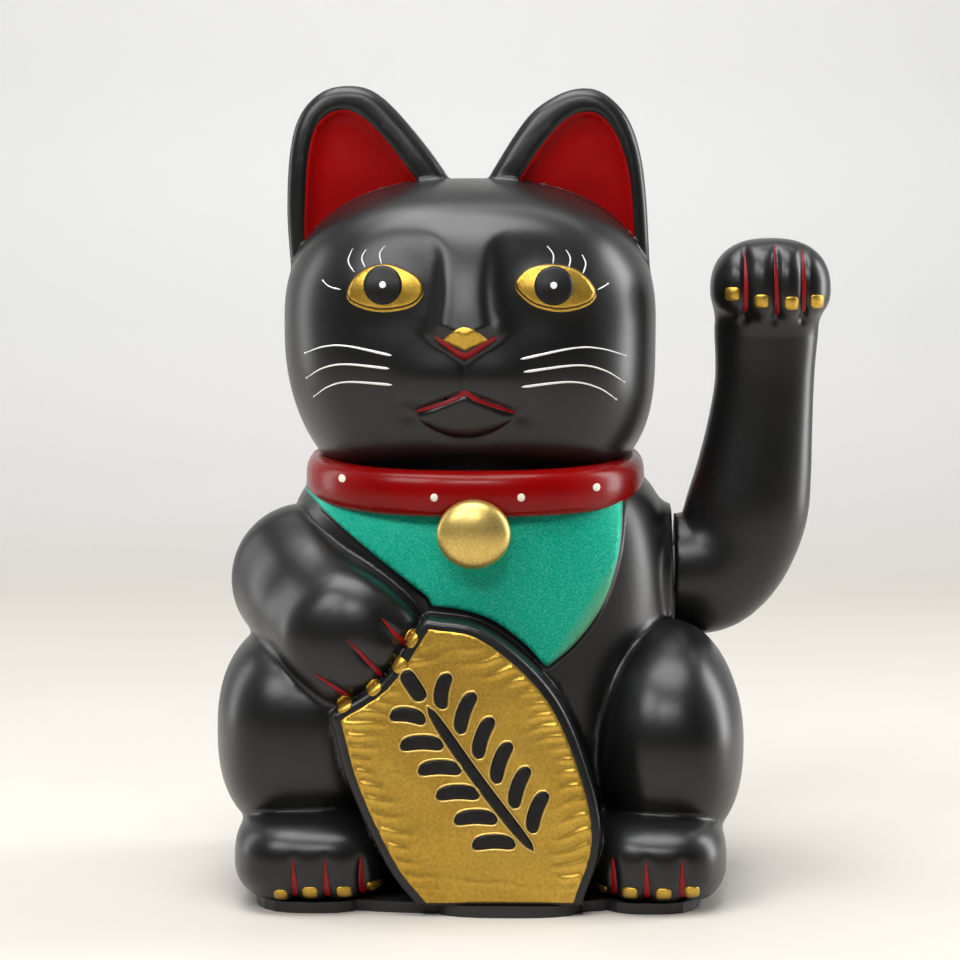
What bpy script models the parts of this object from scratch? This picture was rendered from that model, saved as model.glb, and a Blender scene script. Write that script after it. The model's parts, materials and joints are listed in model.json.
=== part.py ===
"""Beckoning cat figurine with a battery-driven waving arm, modelled as the pieces that it comes apart into.

The figure faces -Y, +X is the side of the waving arm, and +Z is up. The origin is on the floor, at the middle
of the base plate's width, in the plane where the front and rear shells meet. Sizes are in millimetres, and MM
turns them into Blender's metres.
"""

import math

import bmesh
import bpy
from mathutils import Euler, Matrix, Vector

MM = 0.001
GAP = 0.3  # kept between meshes that touch on the real object
HALF_GAP = GAP / 2
FAR = 320  # cutters that only need to reach beyond everything end here
WELD = 0.02 * MM  # slivers shorter than this are welded away

# Shells
WALL = 2.8
SHELL_FLOOR = 4.3  # lowest edge of both shells, just above the base plate
HEAD_X = -4.0  # the head is moulded a little to one side
HEAD_CENTRE = (HEAD_X, 0, 211)
EAR_HALF_DEPTH = 11
EAR_RIM = 7
EAR_RECESS = 4
KOBAN_FRONT = -88
KOBAN_RIM = 3

# Waving arm and its shaft, which lies along X
SHAFT_Z = 116
SHAFT_RADIUS = 2
SHOULDER_FACE = 73  # flat side of the body that the arm turns against
ARM_ROOT = 74  # flat end of the arm
ARM_DEPTH = 0.82  # the arm is this much flatter in Y than it is wide
ARM_WALL = 3
SWEEP_RADIUS = 27.5  # room cut in the body for the turning elbow

# Base plate and battery
BASE_THICK = 4.0
BASE_CENTRE_Y = -12
BASE_RADII = (76, 71)
BASE_POWER = 3
BASE_LOBES = [((-59, -47), (22.5, 36.5)), ((63, -47), (19.5, 36.5)), ((11.5, -70), (28, 20.8))]  # feet and coin
DOOR_LOW, DOOR_HIGH = 0.6, 2.4
DOOR_HINGE_Y = 23.4
DOOR_HALF_WIDTH = 31
DOOR_END_Y = 53.1
CELL_RADIUS = 13  # size C cell
CELL_HALF_LENGTH = 24
CELL_Y, CELL_Z = 38, 16.5
TRAY_HALF_LENGTH = 29.5  # inside of the battery box
TRAY_HALF_WIDTH = 13.4
TRAY_TOP = 30
TRAY_WALL = 1.8
BASE_SCREWS = [(-60, -56), (60, -56), (-66, 28), (66, 28)]
BOSS_TOPS = [24, 24, 16, 16]

# Circuit board
BOARD_LOW, BOARD_HIGH = (-57, -52, 10), (-17, -28, 11.6)
BOARD_SCREW_X = (-52, -22)
BOARD_SCREW_Y = -46
PARTS_Z = 11.9  # what stands on the board starts here

# Pendulum frame and drive
FRAME_X = 26  # inner face of each upright
FRAME_THICK = 3
FRAME_FOOT_TOP = 7.3
PENDULUM_END = 38  # lowest point of the magnet
WEIGHT_Z = 62
FRAME_SCREW_X = 35
SHANK_RADIUS = 1.4  # base and frame screws
BOARD_SHANK_RADIUS = 0.9

PARTS = "beckoning_cat"
CUTTERS = "cutters"

BLACK_PLASTIC = ("black_plastic", (0.012, 0.012, 0.013), 0.32, 0.0)
DARK_PLASTIC = ("dark_plastic", (0.03, 0.03, 0.032), 0.5, 0.0)
WHITE_PLASTIC = ("white_plastic", (0.72, 0.7, 0.65), 0.45, 0.0)
STEEL = ("steel", (0.56, 0.57, 0.58), 0.3, 1.0)
NICKEL = ("nickel", (0.66, 0.63, 0.56), 0.25, 1.0)
COPPER = ("copper", (0.72, 0.28, 0.12), 0.35, 1.0)
BRONZE = ("bronze", (0.55, 0.36, 0.14), 0.35, 1.0)
GREEN_BOARD = ("green_board", (0.02, 0.16, 0.07), 0.45, 0.0)
CELL_LABEL = ("cell_label", (0.05, 0.07, 0.18), 0.35, 0.0)
RED_WIRE = ("red_wire", (0.5, 0.02, 0.02), 0.5, 0.0)
BLACK_WIRE = ("black_wire", (0.02, 0.02, 0.02), 0.5, 0.0)


# ---------------------------------------------------------------- scene helpers


def clear_scene():
    for obj in list(bpy.data.objects):
        bpy.data.objects.remove(obj, do_unlink=True)


def collection(name):
    """The collection of this name, made if it isn't there yet."""
    found = bpy.data.collections.get(name)
    if found is None:
        found = bpy.data.collections.new(name)
        bpy.context.scene.collection.children.link(found)
    return found


def material(name, colour, roughness, metallic):
    found = bpy.data.materials.get(name)
    if found is None:
        found = bpy.data.materials.new(name)
        found.use_nodes = True
        shader = found.node_tree.nodes["Principled BSDF"]
        shader.inputs["Base Color"].default_value = (*colour, 1)
        shader.inputs["Roughness"].default_value = roughness
        shader.inputs["Metallic"].default_value = metallic
    return found


def add_object(name, data, finish=None):
    """A part when it has a finish, and otherwise a hidden cutter."""
    obj = bpy.data.objects.new(name, data)
    collection(PARTS if finish else CUTTERS).objects.link(obj)
    if finish:
        data.materials.clear()
        data.materials.append(material(*finish))
    else:
        obj.hide_render = True
        obj.display_type = "WIRE"
    return obj


def mesh_object(name, bm, finish=None):
    """Turns a bmesh that is drawn in millimetres into an object in metres."""
    bmesh.ops.scale(bm, vec=(MM, MM, MM), verts=bm.verts)
    bmesh.ops.recalc_face_normals(bm, faces=bm.faces)
    mesh = bpy.data.meshes.new(name)
    bm.to_mesh(mesh)
    bm.free()
    mesh.shade_smooth()
    mesh.set_sharp_from_angle(angle=math.radians(35))
    return add_object(name, mesh, finish)


def boolean(target, operation, *cutters):
    for cutter in cutters:
        modifier = target.modifiers.new(f"{operation}_{cutter.name}", "BOOLEAN")
        modifier.operation = operation
        modifier.object = cutter
        modifier.solver = "EXACT"
    return target


def cut(target, *cutters):
    return boolean(target, "DIFFERENCE", *cutters)


def join(target, *others):
    return boolean(target, "UNION", *others)


def evaluated_copy(name, source, finish=None):
    """A new object that holds the source's mesh with its modifiers applied and slivers welded away."""
    bpy.context.view_layer.update()
    graph = bpy.context.evaluated_depsgraph_get()
    mesh = bpy.data.meshes.new_from_object(source.evaluated_get(graph))
    bm = bmesh.new()
    bm.from_mesh(mesh)
    bmesh.ops.triangulate(bm, faces=bm.faces)
    bmesh.ops.remove_doubles(bm, verts=bm.verts, dist=WELD)
    bmesh.ops.dissolve_degenerate(bm, edges=bm.edges, dist=WELD)
    bm.to_mesh(mesh)
    bm.free()
    copy = add_object(name, mesh, finish)
    copy.matrix_world = source.matrix_world
    return copy


# ---------------------------------------------------------------- shapes


def lump(
    name,
    centre,
    radii,
    low=None,
    power=2.4,
    power_z=(2.4, 2.4),
    segments=(28, 16),
    inset=0,
    turn=0,
):
    """A superellipsoid. Its radii are for the positive side of each axis, and low has the negative side's.

    power shapes the level sections, and power_z the upright ones below and above the middle; 2 is round
    and more is boxier. inset shrinks it on every side, and turn tilts it about Y in degrees.
    """
    low = low or radii
    bm = bmesh.new()
    half_step = Matrix.Rotation(math.pi / segments[0], 4, "Z")
    bmesh.ops.create_uvsphere(bm, u_segments=segments[0], v_segments=segments[1], radius=1, matrix=half_step)
    for vert in bm.verts:
        x, y, z = (abs(c) for c in vert.co)
        pz = power_z[1] if vert.co.z > 0 else power_z[0]
        size = ((x**power + y**power) ** (pz / power) + z**pz) ** (1 / pz)
        for axis in range(3):
            reach = (radii if vert.co[axis] > 0 else low)[axis] - inset
            vert.co[axis] *= reach / size
    place = Matrix.Translation(centre) @ Matrix.Rotation(math.radians(turn), 4, "Y")
    bmesh.ops.transform(bm, matrix=place, verts=bm.verts)
    return mesh_object(name, bm)


def box(name, low, high, finish=None, bevel=0):
    bm = bmesh.new()
    size = Vector(high) - Vector(low)
    middle = (Vector(high) + Vector(low)) / 2
    place = Matrix.Translation(middle) @ Matrix.Diagonal((*size, 1))
    bmesh.ops.create_cube(bm, size=1, matrix=place)
    if bevel:
        bmesh.ops.bevel(bm, geom=bm.edges, offset=bevel, segments=2, affect="EDGES", profile=0.5)
    return mesh_object(name, bm, finish)


def rod(name, start, end, radius, end_radius=None, sides=24, finish=None):
    """A cylinder, or a cone when end_radius is given, between two points."""
    start, end = Vector(start), Vector(end)
    along = end - start
    place = Matrix.Translation((start + end) / 2) @ along.to_track_quat("Z", "Y").to_matrix().to_4x4()
    bm = bmesh.new()
    bmesh.ops.create_cone(
        bm,
        cap_ends=True,
        segments=sides,
        radius1=radius,
        radius2=radius if end_radius is None else end_radius,
        depth=along.length,
        matrix=place,
    )
    return mesh_object(name, bm, finish)


def arc(start, end, bulge, count):
    """Points of a circular arc from start up to, and without, end. A positive bulge is to its left."""
    start, end = Vector(start), Vector(end)
    along = end - start
    aside = Vector((-along.y, along.x)).normalized()
    if abs(bulge) < 1e-6:
        return [start.lerp(end, i / count) for i in range(count)]
    radius = along.length**2 / (8 * abs(bulge)) + abs(bulge) / 2
    side = 1 if bulge > 0 else -1
    centre = (start + end) / 2 + aside * side * (abs(bulge) - radius)
    first = start - centre
    sweep = -side * 2 * math.asin(min(1, along.length / 2 / radius))
    turns = [Matrix.Rotation(sweep * i / count, 2) for i in range(count)]
    return [centre + turn @ first for turn in turns]


def outline(corners):
    """A closed outline from (point, bulge of the arc that leaves it, number of points on that arc)."""
    points = []
    for i, (start, bulge, count) in enumerate(corners):
        points += arc(start, corners[(i + 1) % len(corners)][0], bulge, count)
    return points


def superellipse(centre, radii, power, count):
    """Points of a rounded rectangle-like oval in the XY plane."""
    points = []
    for i in range(count):
        angle = 2 * math.pi * i / count
        c, s = math.cos(angle), math.sin(angle)
        size = (abs(c) ** power + abs(s) ** power) ** (1 / power)
        points.append(Vector((centre[0] + radii[0] * c / size, centre[1] + radii[1] * s / size)))
    return points


def slab(name, points, low, high, upright=False, offset=0, rounding=0, finish=None):
    """A flat outline given thickness: along Z from low to high, or along Y when upright, with (x, z) points.

    offset grows the outline, or shrinks it when negative, and rounding rounds its edges inside the same size.
    """
    curve = bpy.data.curves.new(name, "CURVE")
    curve.dimensions = "2D"
    curve.fill_mode = "BOTH"
    curve.extrude = ((high - low) / 2 - rounding) * MM
    curve.bevel_depth = rounding * MM
    curve.bevel_resolution = 1
    curve.offset = (offset - rounding) * MM
    spline = curve.splines.new("POLY")
    spline.points.add(len(points) - 1)
    for point, (u, v) in zip(spline.points, points):
        point.co = (u * MM, v * MM, 0, 1)
    spline.use_cyclic_u = True
    flat = add_object(f"{name}_outline", curve)
    if upright:
        flat.rotation_euler = Euler((math.pi / 2, 0, 0))
    middle = (low + high) / 2 * MM
    flat.location = (0, middle, 0) if upright else (0, 0, middle)
    solid = evaluated_copy(name, flat, finish)
    bpy.data.objects.remove(flat, do_unlink=True)
    return solid


def wire(name, points, radius, finish, closed_turns=None):
    """A wire of round section on a smooth line through the points, or through closed_turns as they are."""
    route = closed_turns or smooth_route([Vector(p) for p in points])
    curve = bpy.data.curves.new(name, "CURVE")
    curve.dimensions = "3D"
    curve.bevel_depth = radius * MM
    curve.bevel_resolution = 1
    curve.use_fill_caps = True
    spline = curve.splines.new("POLY")
    spline.points.add(len(route) - 1)
    for point, place in zip(spline.points, route):
        point.co = (*(Vector(place) * MM), 1)
    return add_object(name, curve, finish)


def smooth_route(points, steps=4):
    """Catmull-Rom points through the given ones."""
    ends = [2 * points[0] - points[1], *points, 2 * points[-1] - points[-2]]
    route = []
    for a, b, c, d in zip(ends, ends[1:], ends[2:], ends[3:]):
        for i in range(steps):
            t = i / steps
            square, cube = 2 * a - 5 * b + 4 * c - d, 3 * b - a - 3 * c + d
            route.append(0.5 * (2 * b + (c - a) * t + square * t**2 + cube * t**3))
    return [*route, points[-1]]


# ---------------------------------------------------------------- body shells


def ear_outline():
    """The ear on the figure's right, in (x, z); the other ear is its mirror image about the head's middle."""
    return outline(
        [
            ((-70, 226), 3.0, 5),
            ((-69, 286), 9.5, 7),
            ((-38, 294.5), 1.5, 4),
            ((-11, 260), 0, 1),
            ((-18, 240), 0, 1),
        ]
    )


def koban_outline():
    """The coin's face, in (x, z): a long oval on the base, with a bite where the paw lies on it."""
    return outline(
        [
            ((-16.8, 103.8), 19.0, 12),
            ((42, 30), 2.5, 5),
            ((33.7, 4.4), 0, 1),
            ((-15, 4.4), 5.5, 8),
            ((-48.9, 70.7), -4.5, 6),
        ]
    )


def mirrored(points):
    return [Vector((2 * HEAD_X - p.x, p.y)) for p in reversed(points)]


def soft_forms(inset):
    """The rounded masses of the figure, shrunk by inset. The cavity is the same masses, one wall smaller."""
    tag = "cavity" if inset else "form"
    egg = dict(power=2, power_z=(2, 2))
    foot = dict(power=2.8, power_z=(2.2, 3.4))
    trunk = dict(power=2.4, power_z=(3, 5))
    hips = dict(low=(89, 58, 42), power=2.6, power_z=(3, 2.4))
    head = dict(low=(70, 66, 72), power=2.6, power_z=(2.8, 2.8))

    def form(name, centre, radii, segments, **shape):
        around, up = segments
        if inset:
            around, up = 2 * round(around * 0.36), 2 * round(up * 0.36)
        return lump(f"{tag}_{name}", centre, radii, segments=(around, up), inset=inset, **shape)

    masses = [
        form("head", HEAD_CENTRE, (70, 58, 54), (28, 18), **head),
        form("torso", (0, 2, 84), (73, 66, 74), (24, 12), **trunk),
        form("hips", (0, 8, 34), (89, 60, 52), (24, 10), **hips),
        form("shoulder", (-62, -16, 112), (32, 32, 31), (18, 10), power=2.1, power_z=(2.1, 2.1)),
        form("forearm", (-50, -44, 100), (24, 31, 25), (16, 10), turn=40, **egg),
        form("thigh_right", (-64, -26, 58), (34, 50, 40), (20, 12)),
        form("thigh_left", (71, -26, 58), (28.5, 50, 42), (20, 12)),
        form("foot_right", (-60, -48, 16), (29.5, 41, 18.5), (20, 10), **foot),
        form("foot_left", (66.5, -48, 16), (25.5, 41, 17.5), (20, 10), **foot),
    ]
    if not inset:
        masses.append(form("paw", (-40, -62, 90), (21, 19, 21), (14, 8), turn=45, **egg))
        masses.append(form("tail", (18, 60, 34), (11, 14, 30), (12, 8), turn=-18, **egg))
    return masses


def collar_form():
    """The rolled collar round the neck, a little lower at the front."""
    bm = bmesh.new()
    bpy.ops.mesh.primitive_torus_add(
        major_segments=36,
        minor_segments=8,
        major_radius=1,
        minor_radius=0.11,
        location=(0, 0, 0),
    )
    ring = bpy.context.object
    bm.from_mesh(ring.data)
    bpy.data.objects.remove(ring, do_unlink=True)
    for vert in bm.verts:
        vert.co = (vert.co.x * 57, vert.co.y * 60, vert.co.z * 68)
    tilt = Matrix.Translation((-1, -3, 152)) @ Matrix.Rotation(math.radians(1.5), 4, "X")
    bmesh.ops.transform(bm, matrix=tilt, verts=bm.verts)
    return mesh_object("form_collar", bm)


def figure_form():
    """The whole moulded outside of the figure as one closed solid."""
    ear = ear_outline()
    ears = []
    for side, points in (("right", ear), ("left", mirrored(ear))):
        blank = slab(f"ear_{side}", points, -EAR_HALF_DEPTH, EAR_HALF_DEPTH, upright=True, rounding=4)
        front = (-EAR_HALF_DEPTH - 5, -EAR_HALF_DEPTH + EAR_RECESS)
        bowl = slab(f"ear_{side}_recess", points, *front, upright=True, offset=-EAR_RIM)
        ears.append(cut(blank, bowl))
    koban = slab("koban", koban_outline(), KOBAN_FRONT, -55, upright=True, offset=KOBAN_RIM, rounding=2)
    bell = rod("bell", (-1.5, -60, 137), (-1.5, -75, 137), 12.7, 10.5, sides=20)
    pad = rod("shoulder_pad", (55, 0, SHAFT_Z), (SHOULDER_FACE, 0, SHAFT_Z), 25, sides=28)
    first, *others = soft_forms(0)
    whole = join(first, *others, *ears, collar_form(), koban, bell, pad)
    sweep = rod("arm_sweep", (SHOULDER_FACE, 0, SHAFT_Z), (120, 0, SHAFT_Z), SWEEP_RADIUS, sides=32)
    return evaluated_copy("figure", cut(whole, sweep))


def cavity_form():
    """The hollow inside both shells, open at the floor."""
    first, *others = soft_forms(WALL)
    floor = slab("floor_opening", superellipse((0, -9.25), (68, 66.75), 3, 40), -5, 22)
    depth = (KOBAN_FRONT + WALL, -50)
    behind_koban = slab("koban_cavity", koban_outline(), *depth, upright=True, offset=KOBAN_RIM - WALL)
    return evaluated_copy("cavity", join(first, *others, floor, behind_koban))


def screw_boss(index):
    """A post for a screw from below, with a rib that ties it to the front wall or the side wall."""
    x, y = BASE_SCREWS[index]
    post = rod(f"boss_{index}", (x, y, SHELL_FLOOR), (x, y, BOSS_TOPS[index]), 4.6, sides=14)
    if y < 0:
        rib = box(f"boss_rib_{index}", (x - 1, -87, 11), (x + 1, y, 20))
    else:
        side = math.copysign(79, x)
        rib = box(f"boss_rib_{index}", (min(x, side), y - 1, 9), (max(x, side), y + 1, 15))
    return evaluated_copy(f"boss_{index}_whole", join(post, rib))


def pilot_hole(index):
    x, y = BASE_SCREWS[index]
    return rod(f"pilot_{index}", (x, y, 0), (x, y, 14), 1.7, sides=12)


def build_shells():
    figure, cavity = figure_form(), cavity_form()
    bore = rod("shoulder_bore", (55, 0, SHAFT_Z), (80, 0, SHAFT_Z), 7 + GAP, sides=24)
    halves = {
        "front_shell": ((-FAR, -FAR, SHELL_FLOOR), (FAR, -HALF_GAP, FAR), (0, 1)),
        "rear_shell": ((-FAR, HALF_GAP, SHELL_FLOOR), (FAR, FAR, FAR), (2, 3)),
    }
    for name, (low, high, screws) in halves.items():
        half = evaluated_copy(f"{name}_solid", figure)
        boolean(half, "INTERSECT", box(f"{name}_half", low, high))
        cut(half, cavity)
        join(half, *(screw_boss(i) for i in screws))
        cut(half, *(pilot_hole(i) for i in screws), bore)
        evaluated_copy(name, half, BLACK_PLASTIC)


# ---------------------------------------------------------------- waving arm


def forearm_tube(name, inset):
    """The raised forearm as a tube that thins and widens again along its line."""
    stations = [(98, 120, 24), (102.5, 145, 23), (105, 172, 20.4), (107.5, 198, 19.3), (108.5, 212, 20.5)]
    curve = bpy.data.curves.new(name, "CURVE")
    curve.dimensions = "3D"
    curve.bevel_depth = MM
    curve.bevel_resolution = 3
    curve.use_fill_caps = True
    spline = curve.splines.new("POLY")
    spline.points.add(len(stations) - 1)
    for point, (x, z, radius) in zip(spline.points, stations):
        point.co = (x * MM, 0, z * MM, 1)
        point.radius = radius - inset
    line = add_object(f"{name}_line", curve)
    tube = evaluated_copy(name, line)
    bpy.data.objects.remove(line, do_unlink=True)
    return tube


def arm_form(tag, inset):
    """The raised arm, drawn round its own axis and then flattened in Y."""
    around = dict(power=2, power_z=(2, 2), segments=(20, 12))
    elbow_inset = 1.8 * inset
    elbow = lump(f"{tag}_elbow", (96 + inset, 0, 119.5), (25, 25, 25), inset=elbow_inset, **around)
    paw = lump(f"{tag}_paw", (109.3, -5, 223), (23.3, 25, 19.5), segments=(18, 10), inset=inset)
    whole = join(elbow, forearm_tube(f"{tag}_forearm", inset), paw)
    if not inset:
        root = rod(f"{tag}_root", (ARM_ROOT - 4, 0, SHAFT_Z), (93, 0, SHAFT_Z), 21.5, 24.2, sides=28)
        end_wall = box(f"{tag}_end_wall", (0, -FAR, 0), (ARM_ROOT, FAR, FAR))
        cut(join(whole, root), end_wall)
    arm = evaluated_copy(f"{tag}_whole", whole)
    arm.data.transform(Matrix.Diagonal((1, ARM_DEPTH, 1, 1)))
    return arm


def build_arm():
    outside, inside = arm_form("arm", 0), arm_form("arm_cavity", ARM_WALL)
    hub_hole = rod("hub_hole", (ARM_ROOT - 10, 0, SHAFT_Z), (ARM_ROOT + 10, 0, SHAFT_Z), 9 + GAP, sides=24)
    pocket = rod("hub_pocket", (ARM_ROOT + 3, 0, SHAFT_Z), (ARM_ROOT + 12, 0, SHAFT_Z), 13 + GAP, sides=24)
    halves = {
        "arm_front_shell": ((0, -FAR, 0), (FAR, -HALF_GAP, FAR)),
        "arm_rear_shell": ((0, HALF_GAP, 0), (FAR, FAR, FAR)),
    }
    for name, (low, high) in halves.items():
        half = evaluated_copy(f"{name}_solid", outside)
        boolean(half, "INTERSECT", box(f"{name}_half", low, high))
        cut(half, inside, hub_hole, pocket)
        evaluated_copy(name, half, BLACK_PLASTIC)


def on_shaft(name, x_from, x_to, radius, finish, bore=SHAFT_RADIUS + GAP, sides=24):
    """A ring or collar round the shaft's axis."""
    low, high = sorted((x_from, x_to))
    ring = rod(name, (low, 0, SHAFT_Z), (high, 0, SHAFT_Z), radius, sides=sides, finish=finish)
    hole = rod(f"{name}_bore", (low - 1, 0, SHAFT_Z), (high + 1, 0, SHAFT_Z), bore, sides=16)
    return cut(ring, hole)


def build_shaft():
    rod("arm_shaft", (-36, 0, SHAFT_Z), (94, 0, SHAFT_Z), SHAFT_RADIUS, sides=16, finish=STEEL)
    hub = on_shaft("arm_hub", ARM_ROOT - 0.4, 92, 9, WHITE_PLASTIC)
    flange = rod("hub_flange", (ARM_ROOT + 3 + GAP, 0, SHAFT_Z), (80, 0, SHAFT_Z), 13, sides=24)
    hole = rod("hub_flange_bore", (70, 0, SHAFT_Z), (95, 0, SHAFT_Z), SHAFT_RADIUS + GAP, sides=16)
    cut(join(hub, flange), hole)
    screw_x = 86
    screw_ends = (screw_x, 0, SHAFT_Z + 2.6), (screw_x, 0, SHAFT_Z + 9.5)
    rod("hub_set_screw", *screw_ends, 1.3, sides=12, finish=STEEL)
    cut(hub, rod("set_screw_hole", (screw_x, 0, SHAFT_Z), (screw_x, 0, SHAFT_Z + 12), 1.3 + GAP, sides=12))
    bush = on_shaft("shoulder_bush", 62, SHOULDER_FACE - 0.2, 7, WHITE_PLASTIC, bore=SHAFT_RADIUS + 0.5)
    lip = rod("bush_lip", (59, 0, SHAFT_Z), (62.5, 0, SHAFT_Z), 6, sides=24)
    bore = rod("bush_lip_bore", (50, 0, SHAFT_Z), (80, 0, SHAFT_Z), SHAFT_RADIUS + 0.5, sides=16)
    cut(join(bush, lip), bore)
    outer = FRAME_X + FRAME_THICK
    for side, sign in (("left", 1), ("right", -1)):
        name = f"shaft_bearing_{side}"
        on_shaft(name, sign * (FRAME_X - 1.2), sign * (outer + 1.2), 4, BRONZE, sides=20)
        clip = f"retaining_ring_{side}"
        on_shaft(clip, sign * (outer + 1.6), sign * (outer + 2.8), 4.2, STEEL, sides=16)


# ---------------------------------------------------------------- pendulum and drive


def rivet_rod(name, half_length, radius, finish=None):
    """A rod on the rivet's axis, through the pendulum's weights."""
    ends = (-half_length, 0, WEIGHT_Z), (half_length, 0, WEIGHT_Z)
    return rod(name, *ends, radius, sides=12, finish=finish)


def build_pendulum():
    """Lever, weight and magnet that hang from the shaft and balance the arm."""
    lever = rod("pendulum_lever", (-7, 0, SHAFT_Z), (7, 0, SHAFT_Z), 6.5, sides=24, finish=WHITE_PLASTIC)
    blade = box("lever_blade", (-2.5, -5, PENDULUM_END + 6.5), (2.5, 5, SHAFT_Z - 3))
    socket = rod("lever_socket", (0, 0, PENDULUM_END + 6.3), (0, 0, PENDULUM_END + 9), 7, sides=20)
    bore = rod("lever_bore", (-9, 0, SHAFT_Z), (9, 0, SHAFT_Z), SHAFT_RADIUS + GAP, sides=16)
    cut(join(lever, blade, socket), bore)
    for side, sign in (("left", 1), ("right", -1)):
        name = f"pendulum_weight_{side}"
        faces = (sign * (2.5 + GAP), 0, WEIGHT_Z), (sign * 12, 0, WEIGHT_Z)
        weight = rod(name, *faces, 13, sides=28, finish=STEEL)
        cut(weight, rivet_rod(f"{name}_hole", 20, 1.5 + GAP))
    cut(lever, rivet_rod("rivet_hole", 10, 1.5 + GAP))
    rivet = rivet_rod("weight_rivet", 12.2, 1.5, STEEL)
    heads = []
    for i, sign in enumerate((1, -1)):
        faces = (sign * 12.3, 0, WEIGHT_Z), (sign * 13.6, 0, WEIGHT_Z)
        heads.append(rod(f"rivet_head_{i}", *faces, 3.2, 2.2, sides=16))
    join(rivet, rivet_rod("rivet_core", 13, 1.4), *heads)
    rod("drive_magnet", (0, 0, PENDULUM_END), (0, 0, PENDULUM_END + 6), 7, sides=24, finish=NICKEL)


def build_frame():
    """The upright frame that carries the shaft in two bearings, with the coil's post in its foot."""
    frame = box("pendulum_frame", (-40, -14, BASE_THICK + GAP), (40, 14, FRAME_FOOT_TOP), WHITE_PLASTIC)
    pieces, holes = [], []
    for side, sign in (("left", 1), ("right", -1)):
        near, far = sorted((sign * FRAME_X, sign * (FRAME_X + FRAME_THICK)))
        points = outline([((-12, 6), 0, 1), ((12, 6), 0, 1), ((7, SHAFT_Z), -7, 8), ((-7, SHAFT_Z), 0, 1)])
        upright = slab(f"upright_{side}", points, near, far)
        turn = Matrix(((0, 0, 1, 0), (1, 0, 0, 0), (0, 1, 0, 0), (0, 0, 0, 1)))
        upright.data.transform(turn @ upright.matrix_world)
        upright.matrix_world = Matrix.Identity(4)
        pieces.append(upright)
        seat = (near - 1, 0, SHAFT_Z), (far + 1, 0, SHAFT_Z)
        holes.append(rod(f"bearing_seat_{side}", *seat, 4 + GAP, sides=20))
        x = sign * FRAME_SCREW_X
        holes.append(rod(f"frame_screw_hole_{side}", (x, 0, 0), (x, 0, 20), SHANK_RADIUS + GAP, sides=12))
    post = rod("coil_post", (0, 0, 6), (0, 0, 19.7), 6, sides=20)
    pin = rod("coil_pin", (0, 0, 15), (0, 0, 33), 2, sides=14)
    cut(join(frame, *pieces, post, pin), *holes)


def build_coil():
    bobbin = rod("coil_bobbin", (0, 0, 20), (0, 0, 34), 4, sides=20, finish=WHITE_PLASTIC)
    flanges = [rod(f"bobbin_flange_{z}", (0, 0, z), (0, 0, z + 1.2), 10.5, sides=24) for z in (20, 32.8)]
    cut(join(bobbin, *flanges), rod("bobbin_hole", (0, 0, 15), (0, 0, 40), 2 + GAP, sides=14))
    coil = rod("drive_coil", (0, 0, 21.5), (0, 0, 32.5), 9.5, sides=28, finish=COPPER)
    cut(coil, rod("coil_hole", (0, 0, 15), (0, 0, 40), 4 + GAP, sides=20))


# ---------------------------------------------------------------- base, battery and electronics


def build_base():
    points = superellipse((0, BASE_CENTRE_Y), BASE_RADII, BASE_POWER, 56)
    plate = slab("base_blank", points, 0, BASE_THICK)
    lobes = []
    for i, (centre, radii) in enumerate(BASE_LOBES):
        lobes.append(slab(f"base_lobe_{i}", superellipse(centre, radii, BASE_POWER, 32), 0, BASE_THICK))
    base = evaluated_copy("base_plate", join(plate, *lobes), DARK_PLASTIC)
    seat = box("door_seat", (-31.5, 22.2, -1), (31.5, 53.5, 2.7))
    window = box("cell_window", (-29.8, 24.3, 2), (29.8, 51.7, 6))
    hinge = rod("hinge_hole", (-33.2, DOOR_HINGE_Y, 1.5), (33.2, DOOR_HINGE_Y, 1.5), 1.0, sides=12)
    nail_notch = rod("nail_notch", (0, 53, -1), (0, 53, 1.6), 7, sides=20)
    cut(base, seat, window, hinge, nail_notch)
    for i, (x, y) in enumerate(BASE_SCREWS):
        cut(base, rod(f"base_hole_{i}", (x, y, -1), (x, y, 6), SHANK_RADIUS + GAP, sides=12))
        cut(base, rod(f"counterbore_{i}", (x, y, -1), (x, y, 2.3), 3.5, sides=16))
    for x in (FRAME_SCREW_X, -FRAME_SCREW_X):
        cut(base, rod(f"frame_pilot_{x}", (x, 0, 1), (x, 0, 6), SHANK_RADIUS + GAP, sides=12))
    join(base, *(board_rod(f"board_stud_{i}", i, 3, 9.7, 3) for i in (0, 1)))
    cut(base, *(board_rod(f"stud_pilot_{i}", i, 4.5, 12, BOARD_SHANK_RADIUS + GAP) for i in (0, 1)))


def board_rod(name, index, low, high, radius):
    """An upright rod on the axis of one of the board's screws."""
    x = BOARD_SCREW_X[index]
    return rod(name, (x, BOARD_SCREW_Y, low), (x, BOARD_SCREW_Y, high), radius, sides=12)


def screw(name, place, length, radius, head_radius, head_height, up=True):
    """A pan-head screw whose head's bearing face is at place and whose shank runs up, or down."""
    x, y, z = place
    way = 1 if up else -1
    low = z - way * head_height
    shank_ends = (x, y, z - way * head_height / 2), (x, y, z + way * length)
    shank = rod(name, *shank_ends, radius, sides=10, finish=STEEL)
    head = rod(f"{name}_head", (x, y, low), (x, y, z), head_radius * 0.8, head_radius, sides=14)
    bottom, top = sorted((low - way, low + way * head_height * 0.45))
    long, thin = head_radius * 0.6, 0.35
    slots = []
    for tag, half_x, half_y in (("a", thin, long), ("b", long, thin)):
        corners = (x - half_x, y - half_y, bottom), (x + half_x, y + half_y, top)
        slots.append(box(f"{name}_slot_{tag}", *corners))
    cut(join(shank, head), *slots)


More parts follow.
